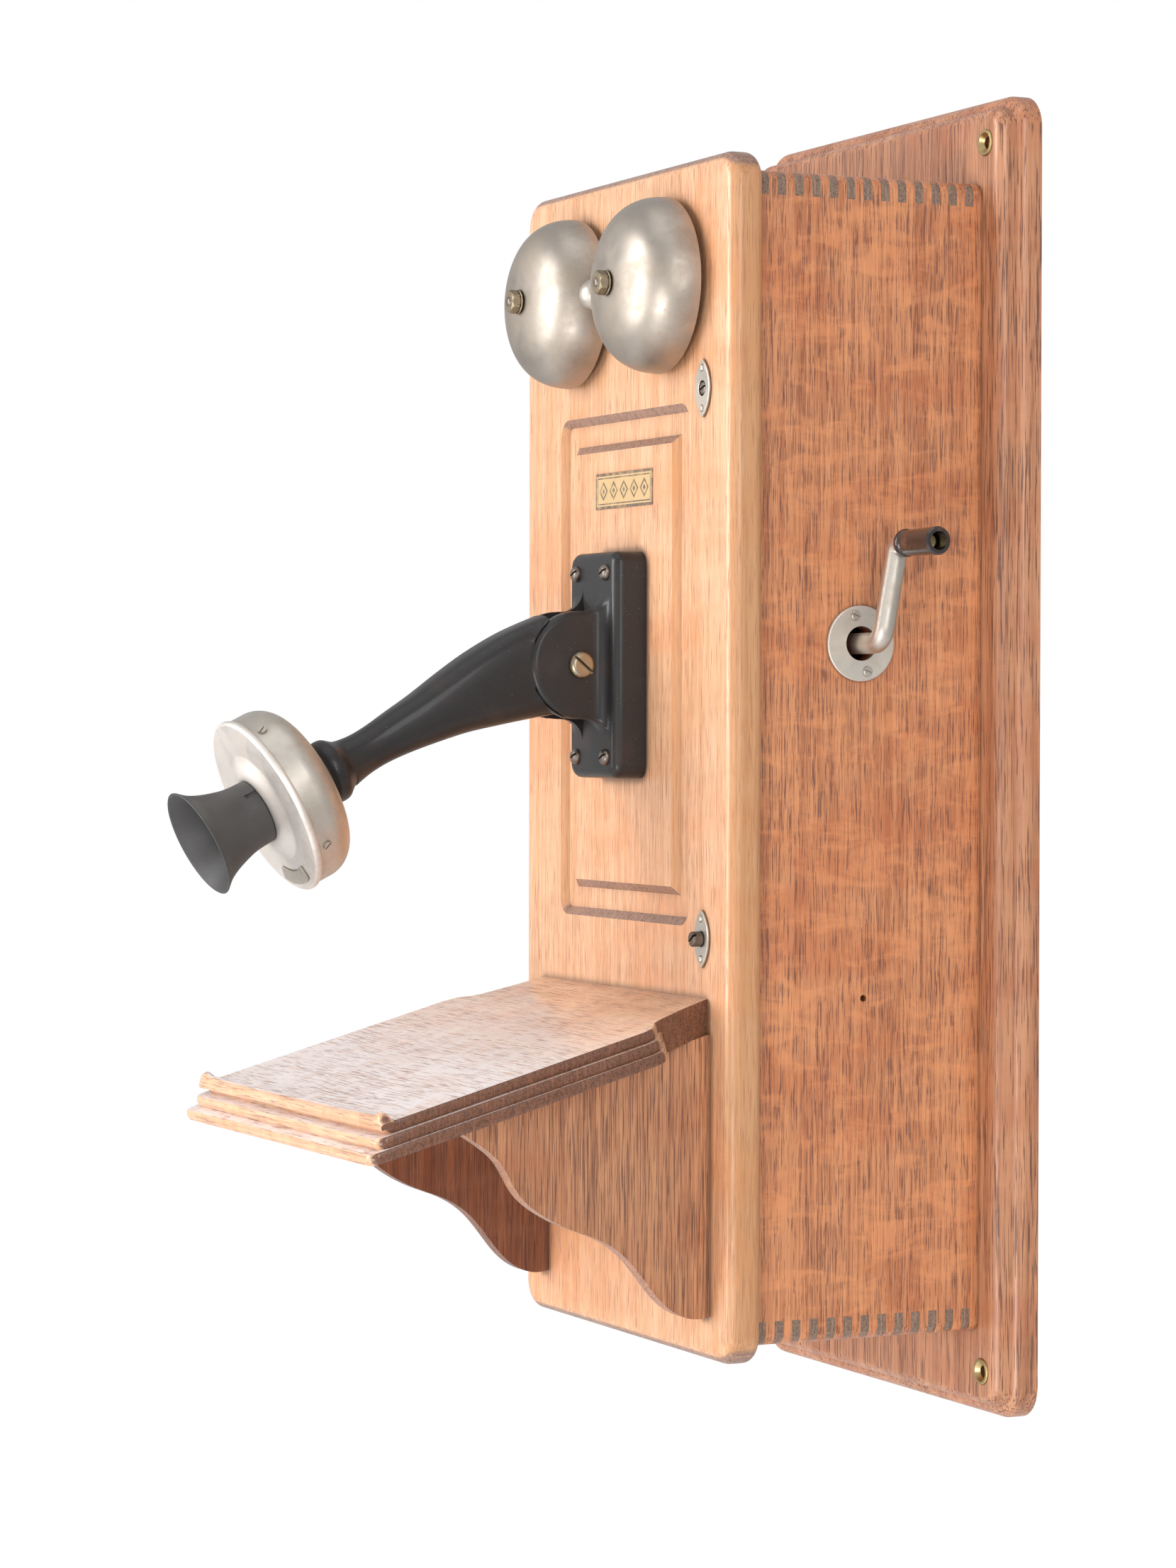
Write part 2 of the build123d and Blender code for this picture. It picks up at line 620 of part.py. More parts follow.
with BuildPart() as pivot_screw:
    with BuildSketch(Plane.YZ.offset(-LUG_OUTER_X)):
        with Locations((PIVOT_Y, PIVOT_Z)):
            Circle(PIVOT_SHANK_R)
    extrude(amount=2 * LUG_OUTER_X)
    with BuildSketch(Plane.YZ.offset(LUG_OUTER_X)):
        with Locations((PIVOT_Y, PIVOT_Z)):
            Circle(6.1)
    extrude(amount=3.4)
    fillet(pivot_screw.faces().sort_by(Axis.X)[-1].edges(), radius=2.4)
    with BuildSketch(Plane.YZ.offset(LUG_OUTER_X + 1.9)):
        with Locations(Location((PIVOT_Y, PIVOT_Z), -40)):
            Rectangle(14, 1.3)
    extrude(amount=2, mode=Mode.SUBTRACT)
pivot_screw.part.label = "pivot_screw"


def head_plane(along):
    """A plane across the transmitter's axis, at a distance in front of its face."""
    centre = Vector(FACE_CENTRE) + Vector(HEAD_DIR) * along
    return Plane(origin=centre, x_dir=(1, 0, 0), z_dir=HEAD_DIR)


# A plane holding the transmitter's axis: its x runs out along the axis, its y is a radius.
HEAD_SECTION = Plane(origin=FACE_CENTRE, x_dir=HEAD_DIR, z_dir=(1, 0, 0))
HEAD_AXIS = Axis(FACE_CENTRE, HEAD_DIR)

# Stations down the arm: y, z, tilt in degrees, width, height, corner radius.
ARM_STATIONS = (
    (-184, 39.5, 14, 30, 41, 11),
    (-216, 29.4, 20, 29, 33, 11),
    (-244, 17.2, 26, 23, 24, 9),
    (-266, 5.8, 31, 18.6, 18.6, 7.5),
    (-281, -2.6, 29, 20, 20, 8),
)
with BuildPart() as transmitter_arm:
    for y, z, tilt, width, height, corner in ARM_STATIONS:
        heading = (0, -cos(radians(tilt)), -sin(radians(tilt)))
        with BuildSketch(Plane(origin=(0, y, z), x_dir=(1, 0, 0), z_dir=heading)):
            RectangleRounded(width, height, corner)
    loft()
    # hollow shoulders that go round the bracket's lugs, and the tongue between them
    for low_x in (TONGUE_HALF, -TONGUE_HALF - 12):
        with BuildSketch(Plane.YZ.offset(low_x)):
            with Locations((PIVOT_Y, PIVOT_Z)):
                Circle(SHOULDER_R)
        extrude(amount=12, mode=Mode.SUBTRACT)
    with BuildSketch(Plane.YZ.offset(-TONGUE_HALF)):
        with Locations((PIVOT_Y, PIVOT_Z)):
            Circle(11.5)
        with BuildLine():
            Polyline((-176, 52.3), (-188, 57.5), (-200, 52), (-200, 16), (-186, 17), (-172, 29.7), close=True)
        make_face()
    extrude(amount=2 * TONGUE_HALF)
    with BuildSketch(Plane.YZ.offset(-TONGUE_HALF)):
        with Locations((PIVOT_Y, PIVOT_Z)):
            Circle(PIVOT_HOLE_R)
    extrude(amount=2 * TONGUE_HALF, mode=Mode.SUBTRACT)
    # the bead where the arm meets the transmitter, and the stem that goes into it
    with BuildSketch(HEAD_SECTION):
        with BuildLine():
            Polyline((-43.5, 0), (-43.5, 9.4), (-39.4, 11.4))
            Spline((-39.4, 11.4), (-36.4, 14.2), (-32.4, 14.4), (-29.4, 12.4))
            Polyline((-29.4, 12.4), (CUP_BACK - 0.2, 12), (CUP_BACK - 0.2, 6), (-16, 6), (-16, 0), (-43.5, 0))
        make_face()
    revolve(axis=HEAD_AXIS)
transmitter_arm.part.label = "transmitter_arm"

CUP_CORNER = 12
CUP_BEND = CUP_BACK + CUP_CORNER
CUP_INNER_R = CUP_OUTER_R - CUP_WALL
with BuildPart() as transmitter_cup:
    with BuildSketch(HEAD_SECTION):
        with BuildLine():
            Polyline((-3.5, CUP_INNER_R), (-3.5, CUP_OUTER_R), (CUP_BEND, CUP_OUTER_R))
            RadiusArc((CUP_BEND, CUP_OUTER_R), (CUP_BACK, CUP_OUTER_R - CUP_CORNER), -CUP_CORNER)
            Polyline(
                (CUP_BACK, CUP_OUTER_R - CUP_CORNER),
                (CUP_BACK, 6.1),
                (CUP_BACK + CUP_WALL, 6.1),
                (CUP_BACK + CUP_WALL, CUP_OUTER_R - CUP_CORNER),
            )
            RadiusArc(
                (CUP_BACK + CUP_WALL, CUP_OUTER_R - CUP_CORNER),
                (CUP_BEND, CUP_INNER_R),
                CUP_CORNER - CUP_WALL,
            )
            Line((CUP_BEND, CUP_INNER_R), (-3.5, CUP_INNER_R))
        make_face()
    revolve(axis=HEAD_AXIS)
transmitter_cup.part.label = "transmitter_cup"

with BuildPart() as transmitter_faceplate:
    # rolled rim, flat face and the raised dome round the mouthpiece
    with BuildSketch(HEAD_SECTION):
        with BuildLine():
            Polyline((-3.4, 36.8), (-3.4, FACE_R - 0.6))
            ThreePointArc((-3.4, FACE_R - 0.6), (-1.6, FACE_R), (-0.2, FACE_R - 1.2))
            Polyline((-0.2, FACE_R - 1.2), (0, 25))
            Spline((0, 25), (0.9, 22), (2.3, 18.5), (3, 15))
            Polyline((3, 15), (3, 11), (1.5, 11), (1.5, 14.6))
            Spline((1.5, 14.6), (0.8, 18), (-0.7, 21.8), (-1.6, 25))
            Polyline((-1.6, 25), (-1.8, 36.8), (-3.4, 36.8))
        make_face()
    revolve(axis=HEAD_AXIS)
transmitter_faceplate.part.label = "transmitter_faceplate"

with BuildPart() as faceplate_screws:
    # four small radial screws in the cup's side, just behind the rim
    for turn in (58, 148, 238, 328):
        upward = Vector(0, HEAD_DIR[2], -HEAD_DIR[1])
        radial = Vector(1, 0, 0) * cos(radians(turn)) + upward * sin(radians(turn))
        seat = Vector(FACE_CENTRE) + Vector(HEAD_DIR) * -7.5 + radial * CUP_OUTER_R
        with BuildSketch(Plane(origin=seat, x_dir=HEAD_DIR, z_dir=radial)):
            Circle(1.9)
        extrude(amount=0.9)
        with BuildSketch(Plane(origin=seat + radial * 0.45, x_dir=HEAD_DIR, z_dir=radial)):
            Rectangle(4, 0.6, rotation=30)
        extrude(amount=1, mode=Mode.SUBTRACT)
faceplate_screws.part.label = "faceplate_screws"

with BuildPart() as transmitter_badge:
    # a plain ribbon-shaped plate low on the face, bent to the rim's curve
    with BuildSketch(head_plane(0)):
        with BuildLine():
            badge_outer = CenterArc((0, 0), 37, 250, 44)
            badge_inner = CenterArc((0, 0), 30.5, 250, 44)
            Line(badge_outer @ 0, badge_inner @ 0)
            Line(badge_outer @ 1, badge_inner @ 1)
        make_face()
    extrude(amount=0.9)
transmitter_badge.part.label = "transmitter_badge"

with BuildPart() as transmitter_diaphragm:
    with BuildSketch(head_plane(-6)):
        Circle(34)
    extrude(amount=0.6)
transmitter_diaphragm.part.label = "transmitter_diaphragm"

with BuildPart() as transmitter_button:
    # carbon button clamped behind the diaphragm
    with BuildSketch(head_plane(-14)):
        Circle(13)
    extrude(amount=7)
    with BuildSketch(head_plane(-7)):
        Circle(5)
    extrude(amount=1)
transmitter_button.part.label = "transmitter_button"

with BuildPart() as mouthpiece:
    # threaded root, a neck and a trumpet flare, all one turned piece
    with BuildSketch(HEAD_SECTION):
        with BuildLine():
            Polyline((3.2, 9), (3.2, 14.5))
            Spline((3.2, 14.5), (12, 15), (22, 17.6), (29, 21), (33, 24.2))
            ThreePointArc((33, 24.2), (33.6, 23.9), (33.3, 23.1))
            Spline((33.3, 23.1), (28.6, 19.4), (22, 15.8), (12, 12.9), (5, 12.2))
            Polyline((5, 12.2), (5, 4), (3.2, 4), (3.2, 9))
        make_face()
        with BuildLine():
            Polyline((-2, 8.4), (-2, 10.8), (3.2, 10.8), (3.2, 8.4), close=True)
        make_face()
    revolve(axis=HEAD_AXIS)
mouthpiece.part.label = "mouthpiece"


# --- Writing shelf -------------------------------------------------------------------

SHELF_UP = (0, -sin(SHELF_SLOPE), cos(SHELF_SLOPE))
REED_H = SHELF_T / 3
SHELF_PLANE = Plane(origin=(0, -DOOR_FACE, SHELF_BACK_Z), x_dir=(1, 0, 0), z_dir=SHELF_UP)


def shelf_outline(grow, reach):
    """The shelf seen square on: a narrow back, scooped corners and straight moulded sides."""
    with BuildSketch() as outline:
        with BuildLine():
            Polyline((SHELF_BACK_X, 8), (SHELF_BACK_X, 0), (91, -26))
            ThreePointArc((91, -26), (97 + grow / 2, -32), (SHELF_X - 1 + grow, -40))
            Polyline((SHELF_X - 1 + grow, -40), (SHELF_X + grow, -44), (SHELF_X + grow, -reach), (0, -reach))
            mirror(about=Plane.YZ)
            Line((SHELF_BACK_X, 8), (-SHELF_BACK_X, 8))
        make_face()
    return outline.sketch


with BuildPart() as writing_shelf:
    # three stepped beads under the top, each standing further out, and a pencil lip
    for step, grow, further in ((1, 0, 0), (2, 3, 6), (3, SHELF_SPREAD, 11)):
        with BuildSketch(SHELF_PLANE.offset(-step * REED_H)):
            add(shelf_outline(grow, SHELF_REACH + further))
        extrude(amount=REED_H)
    with BuildSketch(SHELF_PLANE):
        with Locations((0, -SHELF_REACH + 3)):
            Rectangle(2 * (SHELF_X + 3), 6)
    extrude(amount=4)
    split(bisect_by=Plane.XZ.offset(DOOR_FACE), keep=Keep.TOP)
writing_shelf.part.label = "writing_shelf"

SHELF_UNDER_Z = SHELF_BACK_Z - SHELF_T / cos(SHELF_SLOPE)


def under_shelf(y):
    """Height of the shelf's underside at a given y."""
    return SHELF_UNDER_Z + (y + DOOR_FACE) * sin(SHELF_SLOPE) / cos(SHELF_SLOPE)


def shelf_bracket_outline():
    """Side view of a scrolled bracket: two coves and two lobes below the shelf."""
    with BuildSketch() as outline:
        with BuildLine():
            Polyline((-DOOR_FACE, -240), (-DOOR_FACE, SHELF_UNDER_Z), (-268, under_shelf(-268)))
            Spline(
                (-268, under_shelf(-268)),
                (-256, -161),
                (-245, -170),
                (-237, -183),
                (-226, -192.5),
                (-212, -199.5),
                (-200, -204),
                (-188, -211.5),
                (-177, -224),
                (-167, -235),
                (-156, -240.5),
                (-DOOR_FACE, -240),
            )
        make_face()
    return outline.sketch


with BuildPart() as shelf_bracket_right:
    with BuildSketch(Plane.YZ.offset(SHELF_BRACKET_X - SHELF_BRACKET_T)):
        add(shelf_bracket_outline())
    extrude(amount=SHELF_BRACKET_T)
shelf_bracket_right.part.label = "shelf_bracket_right"

with BuildPart() as shelf_bracket_left:
    with BuildSketch(Plane.YZ.offset(-SHELF_BRACKET_X)):
        add(shelf_bracket_outline())
    extrude(amount=SHELF_BRACKET_T)
shelf_bracket_left.part.label = "shelf_bracket_left"


# --- Crank ---------------------------------------------------------------------------

CASE_FACE_X = CASE_W / 2
with BuildPart() as crank_escutcheon:
    with BuildSketch(Plane.YZ.offset(CASE_FACE_X)):
        with Locations((CRANK_Y, CRANK_Z)):
            Circle(16.5)
            Circle(7.5, mode=Mode.SUBTRACT)
    extrude(amount=1.6)
    fillet(crank_escutcheon.faces().sort_by(Axis.X)[-1].outer_wire().edges(), radius=0.7)
crank_escutcheon.part.label = "crank_escutcheon"

with BuildPart() as escutcheon_screws:
    with BuildSketch(Plane.YZ.offset(CASE_FACE_X + 1.6)):
        with Locations(Location((CRANK_Y, CRANK_Z), 14)):
            with GridLocations(0, 25, 1, 2):
                Circle(2.2)
    extrude(amount=0.9)
    fillet(escutcheon_screws.faces().sort_by(Axis.X)[-2:].edges(), radius=0.5)
    with BuildSketch(Plane.YZ.offset(CASE_FACE_X + 2.1)):
        with Locations(Location((CRANK_Y, CRANK_Z), 14)):
            with GridLocations(0, 25, 1, 2):
                Rectangle(5, 0.7, rotation=-35)
    extrude(amount=1, mode=Mode.SUBTRACT)
escutcheon_screws.part.label = "escutcheon_screws"

GRIP_Y = CRANK_Y + CRANK_THROW * sin(CRANK_LEAN)
GRIP_Z = CRANK_Z + CRANK_THROW * cos(CRANK_LEAN)
CRANK_ROOT_X = 84
ROD_R = 4.6
GRIP_PIN_R = 2.5
GRIP_PIN_L = 22
GRIP_SOLID_X = GRIP_X0 + 20
with BuildPart() as crank_arm:
    # one bent rod: out of the case, up the arm, then out again as the grip's pin
    with BuildLine():
        crank_path = FilletPolyline(
            (CRANK_ROOT_X, CRANK_Y, CRANK_Z),
            (CRANK_ELBOW_X, CRANK_Y, CRANK_Z),
            (CRANK_TOP_X, GRIP_Y, GRIP_Z),
            (GRIP_X0 + 1, GRIP_Y, GRIP_Z),
            radius=(7, 4.6),
        )
    with BuildSketch(Plane(origin=crank_path @ 0, z_dir=crank_path % 0)):
        Circle(ROD_R)
    sweep(path=crank_path)
    with BuildSketch(Plane.YZ.offset(GRIP_X0)):
        with Locations((GRIP_Y, GRIP_Z)):
            Circle(GRIP_PIN_R)
    extrude(amount=GRIP_PIN_L)
    with BuildSketch(Plane.YZ.offset(CRANK_ROOT_X)):
        with Locations((CRANK_Y, CRANK_Z)):
            Circle(SHAFT_R)
    extrude(amount=10, mode=Mode.SUBTRACT)
crank_arm.part.label = "crank_arm"

with BuildPart() as crank_grip:
    # turned grip with a bead at its root and a hollow outer end
    grip_section = Plane(origin=(0, GRIP_Y, GRIP_Z), x_dir=(1, 0, 0), z_dir=(0, -1, 0))
    with BuildSketch(grip_section):
        with BuildLine():
            Polyline((GRIP_X0 + 1.3, 2.58), (GRIP_X0 + 1.3, 5))
            ThreePointArc((GRIP_X0 + 1.3, 5), (GRIP_X0 + 3.5, 6.1), (GRIP_X0 + 5.7, 5))
            Polyline((GRIP_X0 + 5.7, 5), (GRIP_X0 + 6.9, 5.6), (GRIP_X1 - 1, 6.1), (GRIP_X1, 5.4))
            Polyline((GRIP_X1, 5.4), (GRIP_X1, 4), (GRIP_SOLID_X, 4), (GRIP_SOLID_X, 2.58))
            Line((GRIP_SOLID_X, 2.58), (GRIP_X0 + 1.3, 2.58))
        make_face()
    revolve(axis=Axis((0, GRIP_Y, GRIP_Z), (1, 0, 0)))
crank_grip.part.label = "crank_grip"

with BuildPart() as grip_rivet:
    # brass rivet head that keeps the grip on its pin
    with BuildSketch(Plane.YZ.offset(GRIP_X0 + GRIP_PIN_L)):
        with Locations((GRIP_Y, GRIP_Z)):
            Circle(3.6)
    extrude(amount=1.6)
    fillet(grip_rivet.faces().sort_by(Axis.X)[-1].edges(), radius=1)
grip_rivet.part.label = "grip_rivet"


# --- Generator -----------------------------------------------------------------------

MAGNETS_LOW_X = -41
MAGNETS_HIGH_X = MAGNETS_LOW_X + 3 * MAGNET_PITCH + MAGNET_W
FRAME_LOW_X = MAGNETS_LOW_X - 5
FRAME_HIGH_X = MAGNETS_HIGH_X + 2
FRAME_T = 3
GEAR_X = FRAME_HIGH_X + FRAME_T + 3
GEAR_W = 6

with BuildPart() as generator_frame:
    # base plate with an end plate at each end, bored for both shafts
    frame_long = FRAME_HIGH_X + FRAME_T - FRAME_LOW_X
    with Locations((FRAME_LOW_X + frame_long / 2, CRANK_Y, INNER_SHELF_TOP + 2.5)):
        Box(frame_long, 2 * MAGNET_R_OUT, 5)
    for low_x in (FRAME_LOW_X, FRAME_HIGH_X):
        with BuildSketch(Plane.YZ.offset(low_x)):
            with Locations((CRANK_Y, CRANK_Z)):
                Circle(12)
            with Locations((CRANK_Y, (CRANK_Z + INNER_SHELF_TOP + 5) / 2)):
                Rectangle(24, CRANK_Z - INNER_SHELF_TOP - 5)
            with Locations((CRANK_Y, INNER_SHELF_TOP + 5 + 14)):
                Rectangle(48, 28)
            with Locations((CRANK_Y, CRANK_Z)):
                Circle(SHAFT_HOLE_R, mode=Mode.SUBTRACT)
            with Locations((CRANK_Y, ARMATURE_Z)):
                Circle(3.05, mode=Mode.SUBTRACT)
        extrude(amount=FRAME_T)
generator_frame.part.label = "generator_frame"

with BuildPart() as pole_pieces:
    # two soft iron blocks bored to clear the armature
    with BuildSketch(Plane.YZ.offset(MAGNETS_LOW_X)):
        with Locations((CRANK_Y, INNER_SHELF_TOP + 5 + 17)):
            Rectangle(2 * MAGNET_R_IN, 34)
        with Locations((CRANK_Y, ARMATURE_Z)):
            Circle(ARMATURE_R + 0.5, mode=Mode.SUBTRACT)
        with Locations((CRANK_Y, INNER_SHELF_TOP + 5 + 17)):
            Rectangle(22, 34, mode=Mode.SUBTRACT)
    extrude(amount=MAGNETS_HIGH_X - MAGNETS_LOW_X)
pole_pieces.part.label = "pole_pieces"

with BuildPart() as generator_magnets:
    # four horseshoe magnets standing astride the pole pieces
    for i in range(4):
        with BuildSketch(Plane.YZ.offset(MAGNETS_LOW_X + i * MAGNET_PITCH)):
            with Locations((CRANK_Y, CRANK_Z)):
                Circle(MAGNET_R_OUT)
            with Locations((CRANK_Y, (CRANK_Z + INNER_SHELF_TOP + 5) / 2)):
                Rectangle(2 * MAGNET_R_OUT, CRANK_Z - INNER_SHELF_TOP - 5)
            with Locations((CRANK_Y, CRANK_Z)):
                Circle(MAGNET_R_IN, mode=Mode.SUBTRACT)
            with Locations((CRANK_Y, (CRANK_Z + INNER_SHELF_TOP + 5) / 2)):
                Rectangle(2 * MAGNET_R_IN, CRANK_Z - INNER_SHELF_TOP - 5, mode=Mode.SUBTRACT)
        extrude(amount=MAGNET_W)
generator_magnets.part.label = "generator_magnets"

with BuildPart() as generator_armature:
    # shuttle core, its winding bulging at the open sides, and the shaft
    with BuildSketch(Plane.YZ.offset(MAGNETS_LOW_X + 2)):
        with Locations((CRANK_Y, ARMATURE_Z)):
            Circle(ARMATURE_R)
            with Locations((0, 13.5), (0, -13.5)):
                Rectangle(16, 8, mode=Mode.SUBTRACT)
    extrude(amount=MAGNETS_HIGH_X - MAGNETS_LOW_X - 4)
    with BuildSketch(Plane.YZ.offset(FRAME_LOW_X - 4)):
        with Locations((CRANK_Y, ARMATURE_Z)):
            Circle(3)
    extrude(amount=GEAR_X + GEAR_W + 3 - FRAME_LOW_X + 4)
generator_armature.part.label = "generator_armature"


def gear_outline(teeth, phase):
    """Straight-flanked teeth, drawn by formula; phase turns the wheel by parts of a pitch."""
    pitch_r = GEAR_MODULE * teeth / 2
    points = []
    for i in range(teeth):
        for share, rise in ((-0.31, -1.05), (-0.13, 0.85), (0.13, 0.85), (0.31, -1.05)):
            turn = 2 * pi * (i + phase + share) / teeth
            radius = pitch_r + rise * GEAR_MODULE
            points.append((radius * cos(turn), radius * sin(turn)))
    with BuildSketch() as outline:
        with BuildLine():
            Polyline(*points, close=True)
        make_face()
    return outline.sketch


# A tooth of the wheel points straight down and a gap of the pinion straight up.
with BuildPart() as drive_gear:
    with BuildSketch(Plane.YZ.offset(GEAR_X)):
        with Locations((CRANK_Y, CRANK_Z)):
            add(gear_outline(GEAR_TEETH, 0))
            with PolarLocations(18, 5):
                Circle(6, mode=Mode.SUBTRACT)
            Circle(SHAFT_R + 0.05, mode=Mode.SUBTRACT)
    extrude(amount=GEAR_W)
drive_gear.part.label = "drive_gear"

with BuildPart() as armature_pinion:
    with BuildSketch(Plane.YZ.offset(GEAR_X - 1)):
        with Locations((CRANK_Y, ARMATURE_Z)):
            add(gear_outline(PINION_TEETH, 0.5))
            Circle(3.05, mode=Mode.SUBTRACT)
    extrude(amount=GEAR_W + 2)
armature_pinion.part.label = "armature_pinion"

with BuildPart() as crank_shaft:
    with BuildSketch(Plane.YZ.offset(FRAME_LOW_X - 6)):
        with Locations((CRANK_Y, CRANK_Z)):
            Circle(SHAFT_R)
    extrude(amount=CRANK_ROOT_X + 10 - FRAME_LOW_X + 6)
crank_shaft.part.label = "crank_shaft"


# --- Hook and receiver ---------------------------------------------------------------

FORK_TIP_X = RECEIVER_X - 15
with BuildPart() as hook_lever:
    # inner tail, hub on the pin, bar through the slot and an open fork outside
    bar_end = RECEIVER_X + FORK_R_OUT - 1
    with Locations(((HOOK_PIVOT_X + 20 + bar_end) / 2, HOOK_Y, HOOK_Z)):
        Box(HOOK_PIVOT_X + 20 - bar_end, 4, 8)
    with BuildSketch(Plane.XZ.offset(-HOOK_Y - 3.8)):
        with Locations((HOOK_PIVOT_X, HOOK_Z)):
            Circle(6)
    extrude(amount=7.6)
    with BuildSketch(Plane.XY.offset(HOOK_Z - FORK_T / 2)):
        with Locations((RECEIVER_X, HOOK_Y)):
            Circle(FORK_R_OUT)
        with Locations(((RECEIVER_X + FORK_TIP_X) / 2, HOOK_Y)):
            Rectangle(RECEIVER_X - FORK_TIP_X, 2 * FORK_R_OUT)
        with Locations((RECEIVER_X, HOOK_Y)):
            Circle(FORK_R_IN, mode=Mode.SUBTRACT)
        with Locations((RECEIVER_X - 20, HOOK_Y)):
            Rectangle(40, 2 * FORK_R_IN, mode=Mode.SUBTRACT)
        with Locations((FORK_TIP_X - 10, HOOK_Y)):
            Rectangle(20, 60, mode=Mode.SUBTRACT)
    extrude(amount=FORK_T)
    with BuildSketch(Plane.XZ.offset(-HOOK_Y - 4)):
        with Locations((HOOK_PIVOT_X, HOOK_Z)):
            Circle(2.05)
    extrude(amount=8, mode=Mode.SUBTRACT)
hook_lever.part.label = "hook_lever"

with BuildPart() as hook_bracket:
    # plate on the left wall with a window, two ears and the pivot pin riveted in them
    with Locations((-INSIDE_X + 1, HOOK_Y, HOOK_Z + 2)):
        Box(2, 32, 44)
        Box(2, 10, 24, mode=Mode.SUBTRACT)
    for side in (-1, 1):
        with Locations(((-INSIDE_X + HOOK_PIVOT_X + 8) / 2, HOOK_Y + side * 6, HOOK_Z)):
            Box(HOOK_PIVOT_X + 8 + INSIDE_X, 2, 16)
    with BuildSketch(Plane.XZ.offset(-HOOK_Y - 8)):
        with Locations((HOOK_PIVOT_X, HOOK_Z)):
            Circle(2)
    extrude(amount=16)
hook_bracket.part.label = "hook_bracket"

with BuildPart() as hook_contact_springs:
    # insulated block under the inner shelf's level, carrying three leaf springs over the tail
    with Locations((-60, -40, HOOK_Z + 12)):
        Box(16, 12, 22)
    with Locations(*[(-60, -56, HOOK_Z + 6.5 + 5 * i) for i in range(3)]):
        Box(8, 44, 0.8)
    with Locations((-74.5, -40, HOOK_Z + 12)):
        Box(29, 6, 4)
hook_contact_springs.part.label = "hook_contact_springs"

CAP_Z = 82
receiver_section = Plane(origin=(RECEIVER_X, HOOK_Y, 0), x_dir=(1, 0, 0), z_dir=(0, -1, 0))
RECEIVER_AXIS = Axis((RECEIVER_X, HOOK_Y, 0), (0, 0, 1))
CUP_SEAT_Z = HOOK_Z + FORK_T / 2 + 0.3

with BuildPart() as receiver_shell:
    # hollow: wide cup at the top, narrow neck in the fork, belly and a rounded tail
    with BuildSketch(receiver_section):
        with BuildLine():
            Polyline((0, -66), (9, -66))
            Spline((9, -66), (14.5, -58), (18.5, -35), (19.5, -10), (17.2, 25), (NECK_R, 50))
            Polyline((NECK_R, 50), (NECK_R, CUP_SEAT_Z), (18.5, CUP_SEAT_Z))
            Spline((18.5, CUP_SEAT_Z), (23, 66), (27.5, 74), (28.5, CAP_Z))
            Polyline((28.5, CAP_Z), (26, CAP_Z))
            Spline((26, CAP_Z), (25, 75), (20, 68.5), (13, 62))
            Polyline((13, 62), (13, 50), (15, 20), (16.5, -10), (15.5, -35), (11, -58))
            Polyline((11, -58), (3, -61), (3, -64), (0, -64))
            Line((0, -64), (0, -66))
        make_face()
    revolve(axis=RECEIVER_AXIS)
    with Locations((RECEIVER_X, HOOK_Y, -65)):
        Cylinder(2.5, 10, mode=Mode.SUBTRACT)
receiver_shell.part.label = "receiver_shell"

with BuildPart() as receiver_cap:
    # dished ear cap with a rounded rim, overhanging the cup
    with BuildSketch(receiver_section):
        with BuildLine():
            Polyline((5, CAP_Z + 4.5), (5, CAP_Z + 7))
            Spline((5, CAP_Z + 7), (14, CAP_Z + 8.5), (25, CAP_Z + 12))
            ThreePointArc((25, CAP_Z + 12), (28.5, CAP_Z + 11.5), (30.3, CAP_Z + 8))
            Polyline((30.3, CAP_Z + 8), (30.3, CAP_Z + 0.3), (26, CAP_Z + 0.3))
            Polyline((26, CAP_Z + 0.3), (26, CAP_Z + 4.5), (5, CAP_Z + 4.5))
        make_face()
    revolve(axis=RECEIVER_AXIS)
receiver_cap.part.label = "receiver_cap"

with BuildPart() as receiver_magnet:
    # long horseshoe magnet with its two pole coils and the thin diaphragm above them
    with Locations((RECEIVER_X - 6.5, HOOK_Y, 12), (RECEIVER_X + 6.5, HOOK_Y, 12)):
        Box(4, 10, 110)
    with Locations((RECEIVER_X, HOOK_Y, -45)):
        Box(17, 10, 6)
    with Locations((RECEIVER_X - 6.5, HOOK_Y, 73), (RECEIVER_X + 6.5, HOOK_Y, 73)):
        Box(9, 14, 13)
    with Locations((RECEIVER_X, HOOK_Y, CAP_Z + 3.6)):
        Cylinder(25, 0.4)
receiver_magnet.part.label = "receiver_magnet"


# --- Electrical parts inside the case ------------------------------------------------

with BuildPart() as induction_coil:
    # wound spool between square wooden cheeks, screwed to the backboard
    with Locations((-68, -BOARD_OUT - 12, 205), (-12, -BOARD_OUT - 12, 205)):
        Box(6, 24, 26)
    with Locations(Location((-40, -BOARD_OUT - 12, 205), (0, 90, 0))):
        Cylinder(9.5, 56)
induction_coil.part.label = "induction_coil"

with BuildPart() as condenser:
    with Locations((45, -BOARD_OUT - 12, 200)):
        Box(52, 24, 46)
    fillet(condenser.edges().filter_by(Axis.Z), radius=3)
condenser.part.label = "condenser"

CELL_R = 32.5
CELL_TOP = -84
with BuildPart() as dry_cells:
    # two round dry cells standing on the case bottom, each with two terminal posts
    for x in (-36, 36):
        with BuildSketch(Plane.XY.offset(-INSIDE_Z)):
            with Locations((x, -60)):
                Circle(CELL_R)
        extrude(amount=CELL_TOP + INSIDE_Z)
        with BuildSketch(Plane.XY.offset(CELL_TOP)):
            with Locations((x, -60)):
                Circle(6)
            with Locations((x + 24, -60)):
                Circle(2.5)
        extrude(amount=10)
dry_cells.part.label = "dry_cells"


